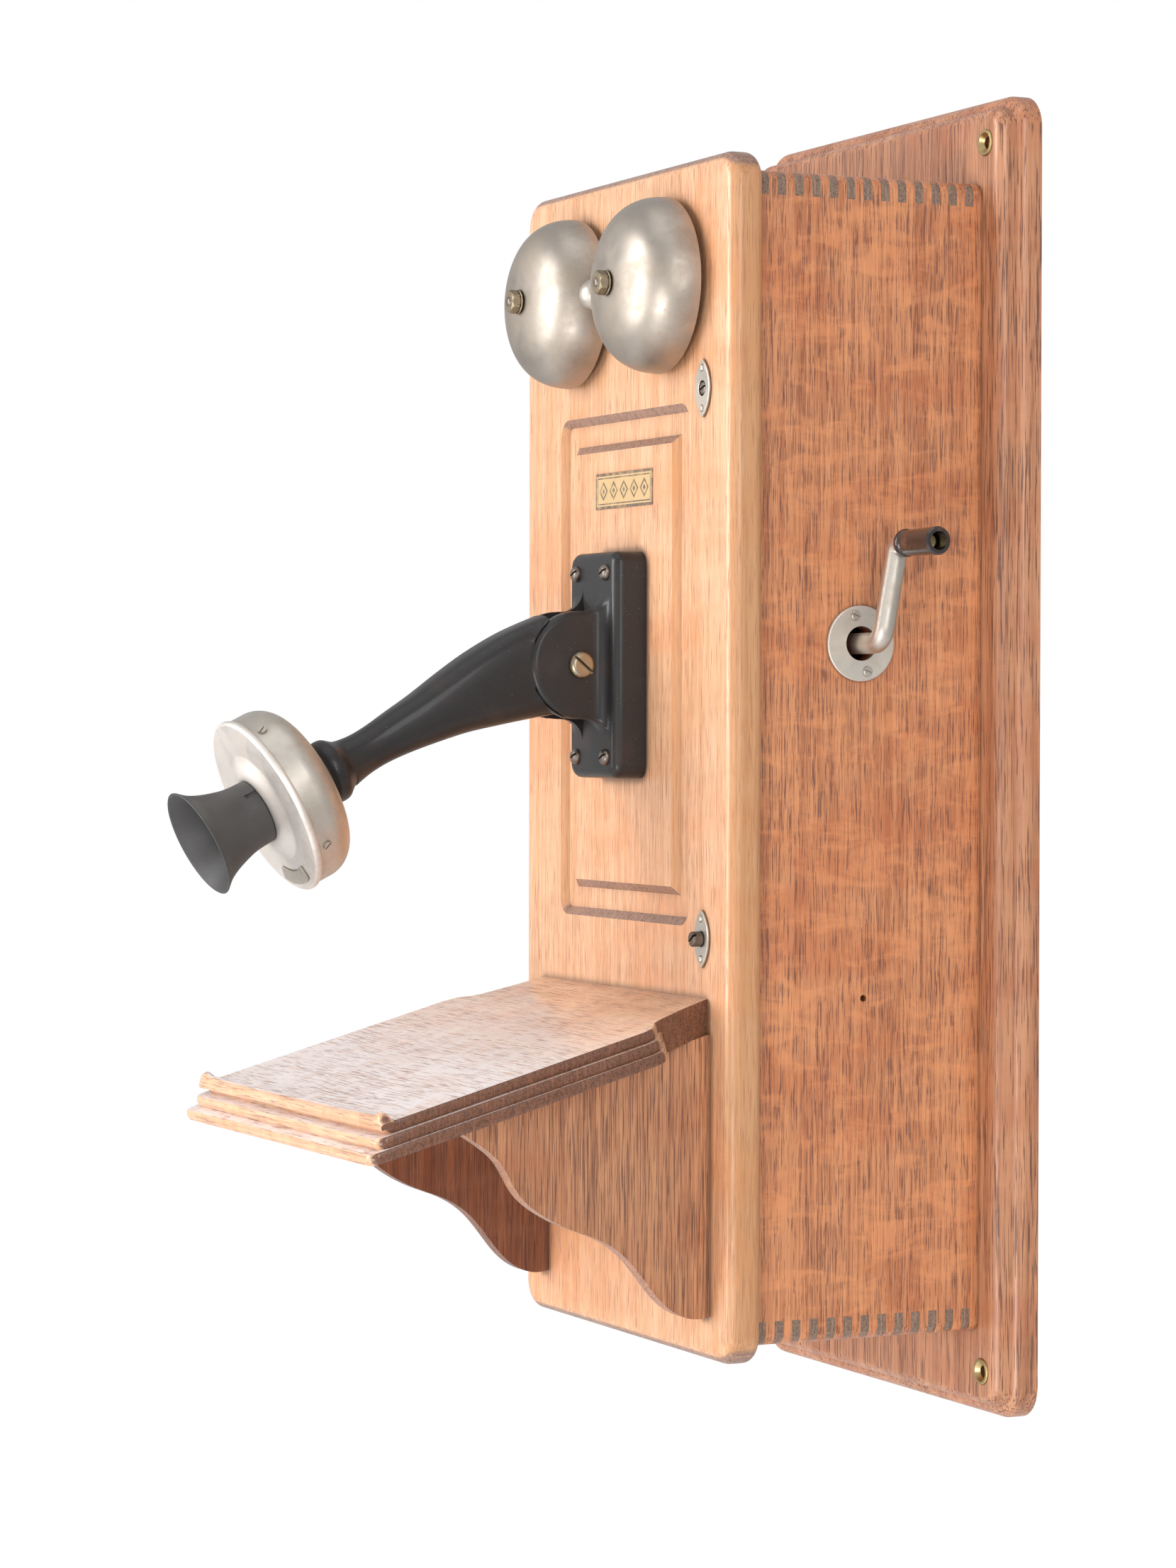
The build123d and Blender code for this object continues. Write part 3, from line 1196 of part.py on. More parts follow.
PIECES = (
    backboard, screw_cups, case_side_left, case_side_right, case_top, case_bottom, inner_shelf, shelf_cleats,
    door_board, door_label, hinge_case_leaves, hinge_door_leaves, hinge_pins, gongs, gong_posts, gong_nuts,
    ringer_frame, ringer_coils, ringer_magnet, clapper, latch_plates, latch_rivets, latch_screw_upper,
    latch_screw_lower, latch_keepers, transmitter_bracket, bracket_screws, pivot_screw, transmitter_arm,
    transmitter_cup, transmitter_faceplate, faceplate_screws, transmitter_badge, transmitter_diaphragm,
    transmitter_button, mouthpiece, writing_shelf, shelf_bracket_left, shelf_bracket_right, crank_escutcheon,
    escutcheon_screws, crank_arm, crank_grip, grip_rivet, crank_shaft, drive_gear, armature_pinion,
    generator_armature, generator_magnets, pole_pieces, generator_frame, hook_lever, hook_bracket,
    hook_contact_springs, receiver_shell, receiver_cap, receiver_magnet, induction_coil, condenser, dry_cells,
)
for piece in PIECES:
    export_step(piece.part, f"parts/{piece.part.label}.step")
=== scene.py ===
import json
from math import atan, cos, pi, radians, sin, sqrt

import bmesh
import bpy
from mathutils import Matrix, Vector


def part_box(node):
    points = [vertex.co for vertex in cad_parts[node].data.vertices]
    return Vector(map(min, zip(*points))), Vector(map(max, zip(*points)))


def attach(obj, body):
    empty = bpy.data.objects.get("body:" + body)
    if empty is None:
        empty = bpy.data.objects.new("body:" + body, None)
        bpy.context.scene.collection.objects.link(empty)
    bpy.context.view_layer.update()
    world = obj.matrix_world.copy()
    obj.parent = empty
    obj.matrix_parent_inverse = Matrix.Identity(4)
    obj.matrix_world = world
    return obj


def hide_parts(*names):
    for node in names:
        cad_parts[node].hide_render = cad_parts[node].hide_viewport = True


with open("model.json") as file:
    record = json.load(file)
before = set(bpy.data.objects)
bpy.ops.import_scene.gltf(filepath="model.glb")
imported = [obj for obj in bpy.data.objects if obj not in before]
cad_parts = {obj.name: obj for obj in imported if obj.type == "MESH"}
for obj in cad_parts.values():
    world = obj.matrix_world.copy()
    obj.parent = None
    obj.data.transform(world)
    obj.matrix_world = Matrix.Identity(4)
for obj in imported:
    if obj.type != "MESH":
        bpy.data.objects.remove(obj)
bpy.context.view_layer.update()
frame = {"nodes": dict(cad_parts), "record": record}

# Wall crank telephone: materials, detailed pieces, light and camera, built round the packed
# frame. Lengths are in millimetres, and MM turns them into metres where a mesh or node needs it.

MM = 0.001
scene = bpy.context.scene


def box_mm(node):
    """Lowest and highest corners of a CAD node, in millimetres."""
    low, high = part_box(node)
    return Vector(low) / MM, Vector(high) / MM


# --- Materials -----------------------------------------------------------------------


def shader_node(tree, kind, inputs=None, **settings):
    """Adds a node; inputs are values or sockets, by the socket's name or number."""
    made = tree.nodes.new(kind)
    for key, value in settings.items():
        setattr(made, key, value)
    for key, value in (inputs or {}).items():
        if isinstance(value, bpy.types.NodeSocket):
            tree.links.new(value, made.inputs[key])
        else:
            made.inputs[key].default_value = value
    return made


def place(tree, scale, turn=(0, 0, 0), shift=(0, 0, 0)):
    """Object coordinates, turned and scaled in that order."""
    coords = shader_node(tree, "ShaderNodeTexCoord")
    turned = shader_node(tree, "ShaderNodeMapping", {"Vector": coords.outputs["Object"], "Rotation": turn})
    scaled = shader_node(
        tree, "ShaderNodeMapping", {"Vector": turned.outputs[0], "Scale": scale, "Location": shift}
    )
    return scaled.outputs[0]


def noise(tree, vector, detail=3.0, roughness=0.55, distortion=0.0):
    """Noise with one cell to a unit of the vector, so place() sets its scale."""
    made = shader_node(
        tree,
        "ShaderNodeTexNoise",
        {
            "Vector": vector,
            "Scale": 1.0,
            "Detail": detail,
            "Roughness": roughness,
            "Distortion": distortion,
        },
    )
    return made.outputs["Fac"]


def ramp(tree, value, low, high, to_low=0.0, to_high=1.0):
    """Maps low..high to to_low..to_high, smoothly and clamped."""
    made = shader_node(
        tree,
        "ShaderNodeMapRange",
        {
            "Value": value,
            "From Min": low,
            "From Max": high,
            "To Min": to_low,
            "To Max": to_high,
        },
        interpolation_type="SMOOTHSTEP",
    )
    return made.outputs[0]


def mix(tree, share, a, b):
    """Goes from colour a to colour b as share goes from 0 to 1."""
    made = shader_node(tree, "ShaderNodeMix", data_type="RGBA")
    for socket, value in ((made.inputs[0], share), (made.inputs[6], a), (made.inputs[7], b)):
        if isinstance(value, bpy.types.NodeSocket):
            tree.links.new(value, socket)
        elif socket == made.inputs[0]:
            socket.default_value = value
        else:
            socket.default_value = (*value, 1)
    return made.outputs[2]


def maths(tree, operation, a, b=0.0, c=0.5):
    """A Math node; c is the tolerance of COMPARE and the lower end of WRAP."""
    return shader_node(tree, "ShaderNodeMath", {0: a, 1: b, 2: c}, operation=operation).outputs[0]


def component(tree, output, number):
    """One component of a texture coordinate output: 0, 1 or 2 for X, Y or Z."""
    coords = shader_node(tree, "ShaderNodeTexCoord").outputs[output]
    return shader_node(tree, "ShaderNodeSeparateXYZ", {0: coords}).outputs[number]


def creases(tree, reach_mm, low, high, most):
    """How hemmed in a spot is, from ambient occlusion within reach: most in creases, 0 in the open."""
    crease = shader_node(tree, "ShaderNodeAmbientOcclusion", {"Distance": reach_mm * MM}, samples=6)
    return ramp(tree, crease.outputs["AO"], low, high, most, 0)


def tint(colour, *factors):
    """A colour times one factor, or times one factor for each of its components."""
    if len(factors) == 1:
        factors *= 3
    return tuple(min(1, c * k) for c, k in zip(colour, factors))


def new_material(name):
    made = bpy.data.materials.new(name)
    made.use_nodes = True
    return made, made.node_tree, made.node_tree.nodes["Principled BSDF"]


def bump(tree, shader, height, strength, distance_mm):
    made = shader_node(
        tree, "ShaderNodeBump", {"Height": height, "Strength": strength, "Distance": distance_mm * MM}
    )
    tree.links.new(made.outputs[0], shader.inputs["Normal"])


# painted glare on a shelf's top grows between these two distances in front of the wall, in metres along Y
GLARE_FROM = -0.15
GLARE_FULL = -0.27


def oak(
    name,
    light,
    dark,
    pore,
    turn=(0, 0, 0),
    seed=0.0,
    pores=0.5,
    streaks=0.5,
    fleck=0.3,
    end=None,
    gloss=0.3,
    stroke=(1500, 70),
    sheen=None,
    crowd=0.035,
    end_from=0.55,
    hatch_scale=(90, 1100, 90),
    crease_shade=(0.35, 0.85, 0.7),
    side=None,
):
    """Shellacked oak. After turn, the grain runs along Z and the rays across it.

    pores is how many pores show and crowd how much they cluster, stroke their frequency across
    and along the grain. fleck is the strength of the rays, streaks that of the wide bands. end,
    side and sheen are the colours of end grain, of painted shade on edges that face along X and
    of painted glare on a top.
    """
    made, tree, shader = new_material(name)
    shift = (seed, seed * 1.7, seed * 0.6)
    mottle = noise(tree, place(tree, (16, 16, 34), turn, shift), detail=4)
    bands = noise(tree, place(tree, (150, 150, 2.4), turn, shift), detail=3)
    fine = noise(tree, place(tree, (780, 780, 12), turn, shift), detail=4, roughness=0.65)
    stroked = place(tree, (stroke[0], stroke[0], stroke[1]), turn, shift)
    strokes = noise(tree, stroked, detail=2, roughness=0.5)
    clumps = noise(tree, place(tree, (60, 60, 9), turn, shift), detail=3)
    rays = noise(tree, place(tree, (40, 40, 105), turn, shift), detail=5, roughness=0.62, distortion=0.5)
    wavy = ramp(tree, rays, 0.44, 0.66)
    wide = maths(tree, "MULTIPLY", bands, streaks)
    tone = maths(tree, "ADD", wide, maths(tree, "MULTIPLY", fine, 1 - streaks))
    colour = mix(tree, ramp(tree, tone, 0.38, 0.6), dark, light)
    colour = mix(tree, ramp(tree, mottle, 0.44, 0.66, 0, 0.4), colour, tint(dark, 1.15, 0.86, 0.7))
    colour = mix(tree, maths(tree, "MULTIPLY", wavy, fleck), colour, tint(light, 1.25, 1.16, 1.05))
    if sheen:
        # painted glare: the upper face is painted pale, more so away from the wall
        upward = ramp(tree, component(tree, "Normal", 2), 0.8, 0.95)
        outward = ramp(tree, component(tree, "Object", 1), GLARE_FROM, GLARE_FULL, 0.12, 1)
        film = noise(tree, place(tree, (120, 40, 40), shift=shift), detail=5, roughness=0.6)
        wear_and_glare = maths(tree, "MULTIPLY", outward, ramp(tree, film, 0.3, 0.6, 0.6, 0.95))
        colour = mix(tree, maths(tree, "MULTIPLY", upward, wear_and_glare), colour, sheen)
    # pores are short dark strokes that crowd together and fade where a ray crosses them
    level = 0.64 - 0.07 * pores
    level = ramp(tree, clumps, 0.3, 0.7, level + crowd, level - crowd)
    inked = ramp(tree, maths(tree, "SUBTRACT", strokes, level), -0.03, 0.05)
    inked = maths(tree, "MULTIPLY", inked, ramp(tree, wavy, 0, 1, 1, 1 - fleck))
    colour = mix(tree, maths(tree, "MULTIPLY", inked, 0.8), colour, pore)
    if side:
        # painted shade: edges and sloping walls that follow the grain and face along X are darkened
        across = maths(tree, "ABSOLUTE", component(tree, "Normal", 0))
        colour = mix(tree, ramp(tree, across, 0.35, 0.6, 0, 0.6), colour, side)
    if end:
        # end grain shows where the surface faces along the grain
        facing = shader_node(tree, "ShaderNodeTexCoord").outputs["Normal"]
        turned = shader_node(
            tree, "ShaderNodeMapping", {"Vector": facing, "Rotation": turn}, vector_type="NORMAL"
        )
        along = shader_node(tree, "ShaderNodeSeparateXYZ", {0: turned.outputs[0]}).outputs[2]
        share = ramp(tree, maths(tree, "ABSOLUTE", along), end_from, end_from + 0.25)
        dots = noise(tree, place(tree, (900, 900, 300), turn, shift), detail=3)
        hatch = noise(tree, place(tree, hatch_scale, turn, shift), detail=2)
        cut = mix(tree, ramp(tree, dots, 0.35, 0.7), end, tint(end, 0.5))
        cut = mix(tree, ramp(tree, hatch, 0.5, 0.7, 0, 0.45), cut, tint(end, 1.7))
        colour = mix(tree, share, colour, cut)
    # painted shade: creases and grooves are darkened towards near black
    colour = mix(tree, creases(tree, 4, *crease_shade), colour, tint(dark, 0.22))
    tree.links.new(colour, shader.inputs["Base Color"])
    smear = noise(tree, place(tree, (30, 30, 30), turn, shift), detail=4)
    smear = ramp(tree, smear, 0.3, 0.7, gloss, gloss + 0.16)
    rough = maths(tree, "ADD", smear, maths(tree, "MULTIPLY", inked, 0.2))
    tree.links.new(rough, shader.inputs["Roughness"])
    shader.inputs["Coat Weight"].default_value = 0.25
    shader.inputs["Coat Roughness"].default_value = 0.2
    relief = maths(tree, "SUBTRACT", maths(tree, "MULTIPLY", fine, 0.35), inked)
    bump(tree, shader, relief, 0.5, 0.12)
    return made


def plated(name, base, tarnish, rough=0.3, spots=0.5, seed=0.0):
    """Old plated metal: clouded, with a warm tarnish, small dark specks and fine scratches."""
    made, tree, shader = new_material(name)
    shift = (seed, -seed, seed * 0.5)
    cloud = noise(tree, place(tree, (48, 48, 48), shift=shift), detail=6, roughness=0.62)
    film = noise(tree, place(tree, (160, 160, 160), shift=shift), detail=5, roughness=0.7)
    specks = noise(tree, place(tree, (1300, 1300, 1300), shift=shift), detail=2)
    scratches = noise(tree, place(tree, (2600, 140, 900), (0.5, 0.3, 0.2), shift), detail=2)
    colour = mix(tree, ramp(tree, cloud, 0.42, 0.7, 0.05, 0.75), base, tarnish)
    colour = mix(tree, ramp(tree, film, 0.5, 0.75, 0, 0.35), colour, tint(base, 0.72))
    colour = mix(tree, creases(tree, 3, 0.35, 0.8, 0.7), colour, tint(tarnish, 0.3))
    dark = ramp(tree, specks, 0.7, 0.76, 0, spots)
    colour = mix(tree, dark, colour, (0.06, 0.045, 0.035))
    tree.links.new(colour, shader.inputs["Base Color"])
    shader.inputs["Metallic"].default_value = 1.0
    clouded = ramp(tree, cloud, 0.35, 0.7, rough, rough + 0.2)
    soft = maths(tree, "ADD", clouded, maths(tree, "MULTIPLY", dark, 0.3))
    tree.links.new(soft, shader.inputs["Roughness"])
    height = maths(tree, "SUBTRACT", maths(tree, "MULTIPLY", scratches, 0.3), dark)
    height = maths(tree, "ADD", height, maths(tree, "MULTIPLY", film, 0.6))
    bump(tree, shader, height, 0.14, 0.1)
    return made


def coated(name, base, wear_and_glare, rough, coat=0.0, seed=0.0, wear=0.4, grain=0.1, shine=0.5):
    """A dark lacquer, moulded rubber or paper: faint mottling, dust, rubbed patches and pitting."""
    made, tree, shader = new_material(name)
    shift = (seed, seed, -seed)
    cloud = noise(tree, place(tree, (60, 60, 60), shift=shift), detail=5, roughness=0.6)
    fine = noise(tree, place(tree, (900, 900, 900), shift=shift), detail=3)
    dust = noise(tree, place(tree, (1900, 1900, 1900), shift=shift), detail=1)
    colour = mix(tree, ramp(tree, cloud, 0.5, 0.72, 0, wear), base, wear_and_glare)
    colour = mix(tree, ramp(tree, dust, 0.77, 0.8, 0, 0.5), colour, (0.42, 0.4, 0.37))
    tree.links.new(colour, shader.inputs["Base Color"])
    rubbed = ramp(tree, cloud, 0.3, 0.7, rough, rough + 0.12)
    smear = maths(tree, "ADD", rubbed, maths(tree, "MULTIPLY", fine, 0.06))
    tree.links.new(smear, shader.inputs["Roughness"])
    shader.inputs["Coat Weight"].default_value = coat
    shader.inputs["Specular IOR Level"].default_value = shine
    shader.inputs["Coat Roughness"].default_value = 0.12
    bump(tree, shader, maths(tree, "ADD", fine, cloud), grain, 0.2)
    return made


def wound(name, base, dark, axis_scale):
    """Close-wound varnished wire: fine ridges round the spool."""
    made, tree, shader = new_material(name)
    ridges = shader_node(
        tree,
        "ShaderNodeTexWave",
        {"Vector": place(tree, axis_scale), "Scale": 1.0, "Distortion": 0.6, "Detail": 1.0},
        bands_direction="DIAGONAL",
    ).outputs["Fac"]
    stain = noise(tree, place(tree, (70, 70, 70)), detail=4)
    colour = mix(tree, ramp(tree, stain, 0.4, 0.7), base, dark)
    colour = mix(tree, ramp(tree, ridges, 0, 0.35, 0.7, 0), colour, tint(dark, 0.3))
    tree.links.new(colour, shader.inputs["Base Color"])
    shader.inputs["Roughness"].default_value = 0.38
    bump(tree, shader, ridges, 0.6, 0.25)
    return made


LABEL_MID = (1, 120)
LABEL_HALF = (29, 8)
LOZENGE_HALF_PITCH = 5.2
LOZENGE_REACH = 3.7
LOZENGE_HEART = 1.4


def gilt_label(name, gold, ink):
    """A gilt transfer: two ink borders round a row of hollow lozenges, no lettering."""
    made = coated(name, gold, tint(gold, 0.7), 0.34, coat=0.3, grain=0.05, seed=3.8)
    tree = made.node_tree
    shader = tree.nodes["Principled BSDF"]
    painted = shader.inputs["Base Color"].links[0].from_socket
    across = maths(tree, "SUBTRACT", component(tree, "Object", 0), LABEL_MID[0] * MM)
    upward = maths(tree, "SUBTRACT", component(tree, "Object", 2), LABEL_MID[1] * MM)
    upward = maths(tree, "ABSOLUTE", upward)
    # the distance in from the nearest edge gives both borders
    inward_x = maths(tree, "SUBTRACT", LABEL_HALF[0] * MM, maths(tree, "ABSOLUTE", across))
    inward_z = maths(tree, "SUBTRACT", LABEL_HALF[1] * MM, upward)
    inward = maths(tree, "MINIMUM", inward_x, inward_z)
    outer = maths(tree, "COMPARE", inward, 0.6 * MM, 0.6 * MM)
    inner = maths(tree, "COMPARE", inward, 2.2 * MM, 0.3 * MM)
    # each lozenge has a solid heart
    wrapped = maths(tree, "WRAP", across, LOZENGE_HALF_PITCH * MM, -LOZENGE_HALF_PITCH * MM)
    reach = maths(tree, "ADD", maths(tree, "ABSOLUTE", wrapped), upward)
    outline = maths(tree, "COMPARE", reach, LOZENGE_REACH * MM, 0.7 * MM)
    heart = maths(tree, "LESS_THAN", reach, LOZENGE_HEART * MM)
    motif = maths(tree, "MAXIMUM", outline, heart)
    motif = maths(tree, "MULTIPLY", motif, maths(tree, "GREATER_THAN", inward, 2.9 * MM))
    marks = maths(tree, "MAXIMUM", maths(tree, "MAXIMUM", outer, inner), motif)
    wear_and_glare = noise(tree, place(tree, (260, 260, 260)), detail=4)
    marks = maths(tree, "MULTIPLY", marks, ramp(tree, wear_and_glare, 0.4, 0.66, 0.9, 0.5))
    tree.links.new(mix(tree, marks, painted, ink), shader.inputs["Base Color"])
    return made


ALONG_X = (0, radians(90), 0)
SHELF_FALL = 0.285
SHELF_SLOPE = atan(SHELF_FALL)

PORE = (0.075, 0.03, 0.018)
MATERIALS = {
    "oak_board": oak(
        "oak_board",
        (0.58, 0.27, 0.14),
        (0.38, 0.155, 0.075),
        (0.11, 0.04, 0.025),
        seed=3.1,
        pores=1.0,
        fleck=0.12,
        streaks=0.6,
        stroke=(1500, 45),
    ),
    "oak_case": oak(
        "oak_case",
        (0.64, 0.27, 0.12),
        (0.43, 0.15, 0.06),
        (0.14, 0.05, 0.035),
        seed=7.7,
        pores=0.95,
        fleck=0.45,
        streaks=0.3,
        stroke=(2300, 85),
        crowd=0.02,
    ),
    "oak_case_end": oak(
        "oak_case_end",
        (0.42, 0.17, 0.08),
        (0.28, 0.1, 0.045),
        PORE,
        ALONG_X,
        seed=1.3,
        pores=0.6,
        end=(0.26, 0.165, 0.115),
    ),
    "oak_door": oak(
        "oak_door",
        (0.76, 0.445, 0.265),
        (0.62, 0.315, 0.155),
        (0.38, 0.165, 0.09),
        seed=5.2,
        pores=0.8,
        fleck=0.12,
        streaks=0.4,
        gloss=0.28,
        stroke=(2000, 60),
        crowd=0.02,
        side=(0.48, 0.215, 0.075),
        end=(0.36, 0.2, 0.135),
        end_from=0.35,
        hatch_scale=(1000, 60, 60),
        crease_shade=(0.62, 0.97, 0.8),
    ),
    "oak_shelf": oak(
        "oak_shelf",
        (0.82, 0.52, 0.33),
        (0.64, 0.35, 0.2),
        (0.36, 0.2, 0.14),
        ALONG_X,
        seed=9.4,
        pores=0.9,
        fleck=0.3,
        gloss=0.2,
        end=(0.2, 0.08, 0.042),
        sheen=(0.92, 0.84, 0.82),
        stroke=(1500, 60),
        crease_shade=(0.3, 0.7, 0.25),
    ),
    "oak_bracket": oak(
        "oak_bracket",
        (0.54, 0.255, 0.125),
        (0.34, 0.14, 0.065),
        (0.1, 0.036, 0.024),
        seed=2.5,
        pores=1.25,
        fleck=0.08,
        streaks=0.3,
        stroke=(2600, 45),
        crowd=0.015,
    ),
    "plain_wood": oak(
        "plain_wood",
        (0.6, 0.42, 0.25),
        (0.45, 0.3, 0.17),
        (0.25, 0.15, 0.08),
        ALONG_X,
        seed=4.4,
        pores=0.2,
        fleck=0.05,
        gloss=0.55,
    ),
    "nickel": plated("nickel", (0.6, 0.55, 0.485), (0.45, 0.39, 0.32), rough=0.4, spots=0.6, seed=2.2),
    "aged_brass": plated(
        "aged_brass", (0.62, 0.47, 0.22), (0.3, 0.21, 0.11), rough=0.28, spots=0.5, seed=6.1
    ),
    "dark_brass": plated(
        "dark_brass", (0.4, 0.33, 0.23), (0.2, 0.15, 0.1), rough=0.34, spots=0.6, seed=8.3
    ),
    "clean_brass": plated(
        "clean_brass", (0.78, 0.6, 0.3), (0.6, 0.42, 0.2), rough=0.22, spots=0.15, seed=1.9
    ),
    "dark_steel": plated(
        "dark_steel", (0.26, 0.22, 0.19), (0.12, 0.09, 0.07), rough=0.36, spots=0.6, seed=5.5
    ),
    "dark_iron": coated("dark_iron", (0.03, 0.03, 0.032), (0.07, 0.05, 0.04), 0.5, grain=0.3, seed=3.3),
    "magnet_steel": coated(
        "magnet_steel", (0.02, 0.02, 0.022), (0.06, 0.05, 0.045), 0.4, coat=0.2, seed=4.1
    ),
    "black_enamel": coated(
        "black_enamel",
        (0.017, 0.0155, 0.0155),
        (0.042, 0.027, 0.022),
        0.35,
        coat=0.2,
        seed=2.9,
        wear=0.5,
        shine=0.35,
    ),
    "black_rubber": coated(
        "black_rubber", (0.047, 0.044, 0.043), (0.085, 0.082, 0.082), 0.46, seed=7.1, wear=0.5, grain=0.12
    ),
    "gloss_rubber": coated(
        "gloss_rubber", (0.02, 0.013, 0.011), (0.16, 0.07, 0.045), 0.2, coat=0.5, seed=6.6, wear=0.8
    ),
    "winding": wound("winding", (0.22, 0.07, 0.035), (0.1, 0.035, 0.02), (500, 500, 2500)),
    "zinc": plated("zinc", (0.5, 0.5, 0.5), (0.36, 0.36, 0.36), rough=0.45, spots=0.2, seed=0.7),
    "card_tube": coated("card_tube", (0.42, 0.34, 0.23), (0.26, 0.19, 0.12), 0.6, grain=0.2, seed=8.8),
    "label": gilt_label("label", (0.6, 0.4, 0.19), (0.09, 0.06, 0.05)),
}

# pieces with their own darker or paler copy of a finish; on the left bracket it is painted shade, on the
# faceplate painted light
OWN_FINISH_AND_PAINTED_LIGHT = {
    # painted shade: the left bracket gets a darker copy of the bracket oak
    "shelf_bracket_left": oak(
        "oak_bracket_painted_shade",
        (0.3, 0.125, 0.065),
        (0.17, 0.06, 0.03),
        (0.06, 0.022, 0.015),
        seed=4.9,
        pores=1.2,
        fleck=0.1,
        stroke=(2600, 45),
    ),
    "gongs": plated(
        "nickel_gong", (0.46, 0.405, 0.35), (0.37, 0.31, 0.25), rough=0.38, spots=0.65, seed=2.2
    ),
    "crank_escutcheon": plated(
        "nickel_plate", (0.76, 0.7, 0.62), (0.6, 0.52, 0.44), rough=0.45, spots=0.5, seed=1.2
    ),
    # painted light: the faceplate gets a paler copy of the nickel
    "transmitter_faceplate": plated(
        "nickel_face_painted_light", (0.8, 0.75, 0.7), (0.64, 0.57, 0.51), rough=0.5, spots=0.5, seed=2.2
    ),
}

for row in frame["record"]["subparts"]:
    mesh = frame["nodes"][row["node"]].data
    mesh.materials.clear()
    mesh.materials.append(OWN_FINISH_AND_PAINTED_LIGHT.get(row["node"]) or MATERIALS[row["material_slot"]])


# --- Mesh helpers ---------------------------------------------------------------------


def to_piece(name, bm, slot_name, body, *nodes, sharp=35):
    """Turns a bmesh in millimetres into a piece that rides on a body and stands for CAD nodes."""
    bmesh.ops.recalc_face_normals(bm, faces=bm.faces)
    bmesh.ops.scale(bm, vec=(MM, MM, MM), verts=bm.verts)
    mesh = bpy.data.meshes.new(name)
    bm.to_mesh(mesh)
    bm.free()
    mesh.polygons.foreach_set("use_smooth", [True] * len(mesh.polygons))
    mesh.set_sharp_from_angle(angle=radians(sharp))
    mesh.materials.append(MATERIALS[slot_name])
    made = bpy.data.objects.new(name, mesh)
    scene.collection.objects.link(made)
    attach(made, body)
    if nodes:
        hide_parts(*nodes)
    return made


def skin(bm, loops):
    """Skins a stack of loops that all have the same number of points, and closes both ends."""
    rings = [[bm.verts.new(point) for point in loop] for loop in loops]
    for low, high in zip(rings, rings[1:]):
        for i in range(len(low)):
            j = (i + 1) % len(low)
            bm.faces.new((low[i], low[j], high[j], high[i]))
    bm.faces.new(rings[0][::-1])
    bm.faces.new(rings[-1])


def lathe(bm, profile, origin, axis, steps=96):
    """Turns a closed profile of (along, radius) points about an axis."""
    axis = Vector(axis).normalized()
    side = axis.orthogonal().normalized()
    other = axis.cross(side)
    rings = []
    for along, radius in profile:
        centre = Vector(origin) + axis * along
        turns = [2 * pi * i / steps for i in range(steps if radius > 0 else 1)]
        rings.append([bm.verts.new(centre + (side * cos(t) + other * sin(t)) * radius) for t in turns])
    for low, high in zip(rings, rings[1:] + rings[:1]):
        for i in range(steps):
            j = (i + 1) % steps
            corners = (low[i % len(low)], low[j % len(low)], high[j % len(high)], high[i % len(high)])
            corners = list(dict.fromkeys(corners))
            if len(corners) > 2:
                bm.faces.new(corners)


def through(points, steps=6):
    """A smooth line through points, with that many steps between each two."""

    def between(a, b, c, d, t):
        square = (2 * a - 5 * b + 4 * c - d) * t**2
        return 0.5 * (2 * b + (c - a) * t + square + (3 * b - a - 3 * c + d) * t**3)

    ends = [points[0], *points, points[-1]]
    line = []
    for four in zip(ends, ends[1:], ends[2:], ends[3:]):
        for i in range(steps):
            line.append(tuple(between(*values, i / steps) for values in zip(*four)))
    line.append(tuple(points[-1]))
    return line


def rounded_rect(width, height, corner, steps=7):
    """A rectangle round the origin with round corners, as (u, v) points."""
    loop = []
    for quarter, (side_u, side_v) in enumerate(((1, 1), (-1, 1), (-1, -1), (1, -1))):
        for i in range(steps + 1):
            turn = pi / 2 * (quarter + i / steps)
            u = side_u * (width / 2 - corner) + corner * cos(turn)
            v = side_v * (height / 2 - corner) + corner * sin(turn)
            loop.append((u, v))
    return loop


def superellipse(width, height, power, steps=56):
    """A closed loop between an ellipse and a rectangle, as (u, v) points."""
    loop = []
    for i in range(steps):
        turn = 2 * pi * (i + 0.5) / steps
        u = abs(cos(turn)) ** (2 / power) * (1 if cos(turn) > 0 else -1)
        v = abs(sin(turn)) ** (2 / power) * (1 if sin(turn) > 0 else -1)
        loop.append((u * width / 2, v * height / 2))
    return loop


def soften(node, width_mm):
    """Rounds the sharp edges of a CAD node that stays."""
    thing = frame["nodes"][node]
    weld = thing.modifiers.new("weld", "WELD")
    weld.merge_threshold = 0.01 * MM
    round_edges = thing.modifiers.new("round", "BEVEL")
    round_edges.width = width_mm * MM
    round_edges.segments = 2
    round_edges.limit_method = "ANGLE"
    round_edges.angle_limit = radians(40)


# --- Gong nuts ------------------------------------------------------------------------

NUT_LOW, NUT_HIGH = box_mm("gong_nuts")
WASHER_R = 5.6
WASHER_T = 0.95
WASHER_EDGE = 0.3
GONG_X = NUT_HIGH.x - WASHER_R
GONG_Z = (NUT_LOW.z + NUT_HIGH.z) / 2
NUT_FLAT = 4.7
NUT_BORE = 2.5
NUT_STEPS = 72
NUT_CORNER = NUT_FLAT / cos(pi / 6)

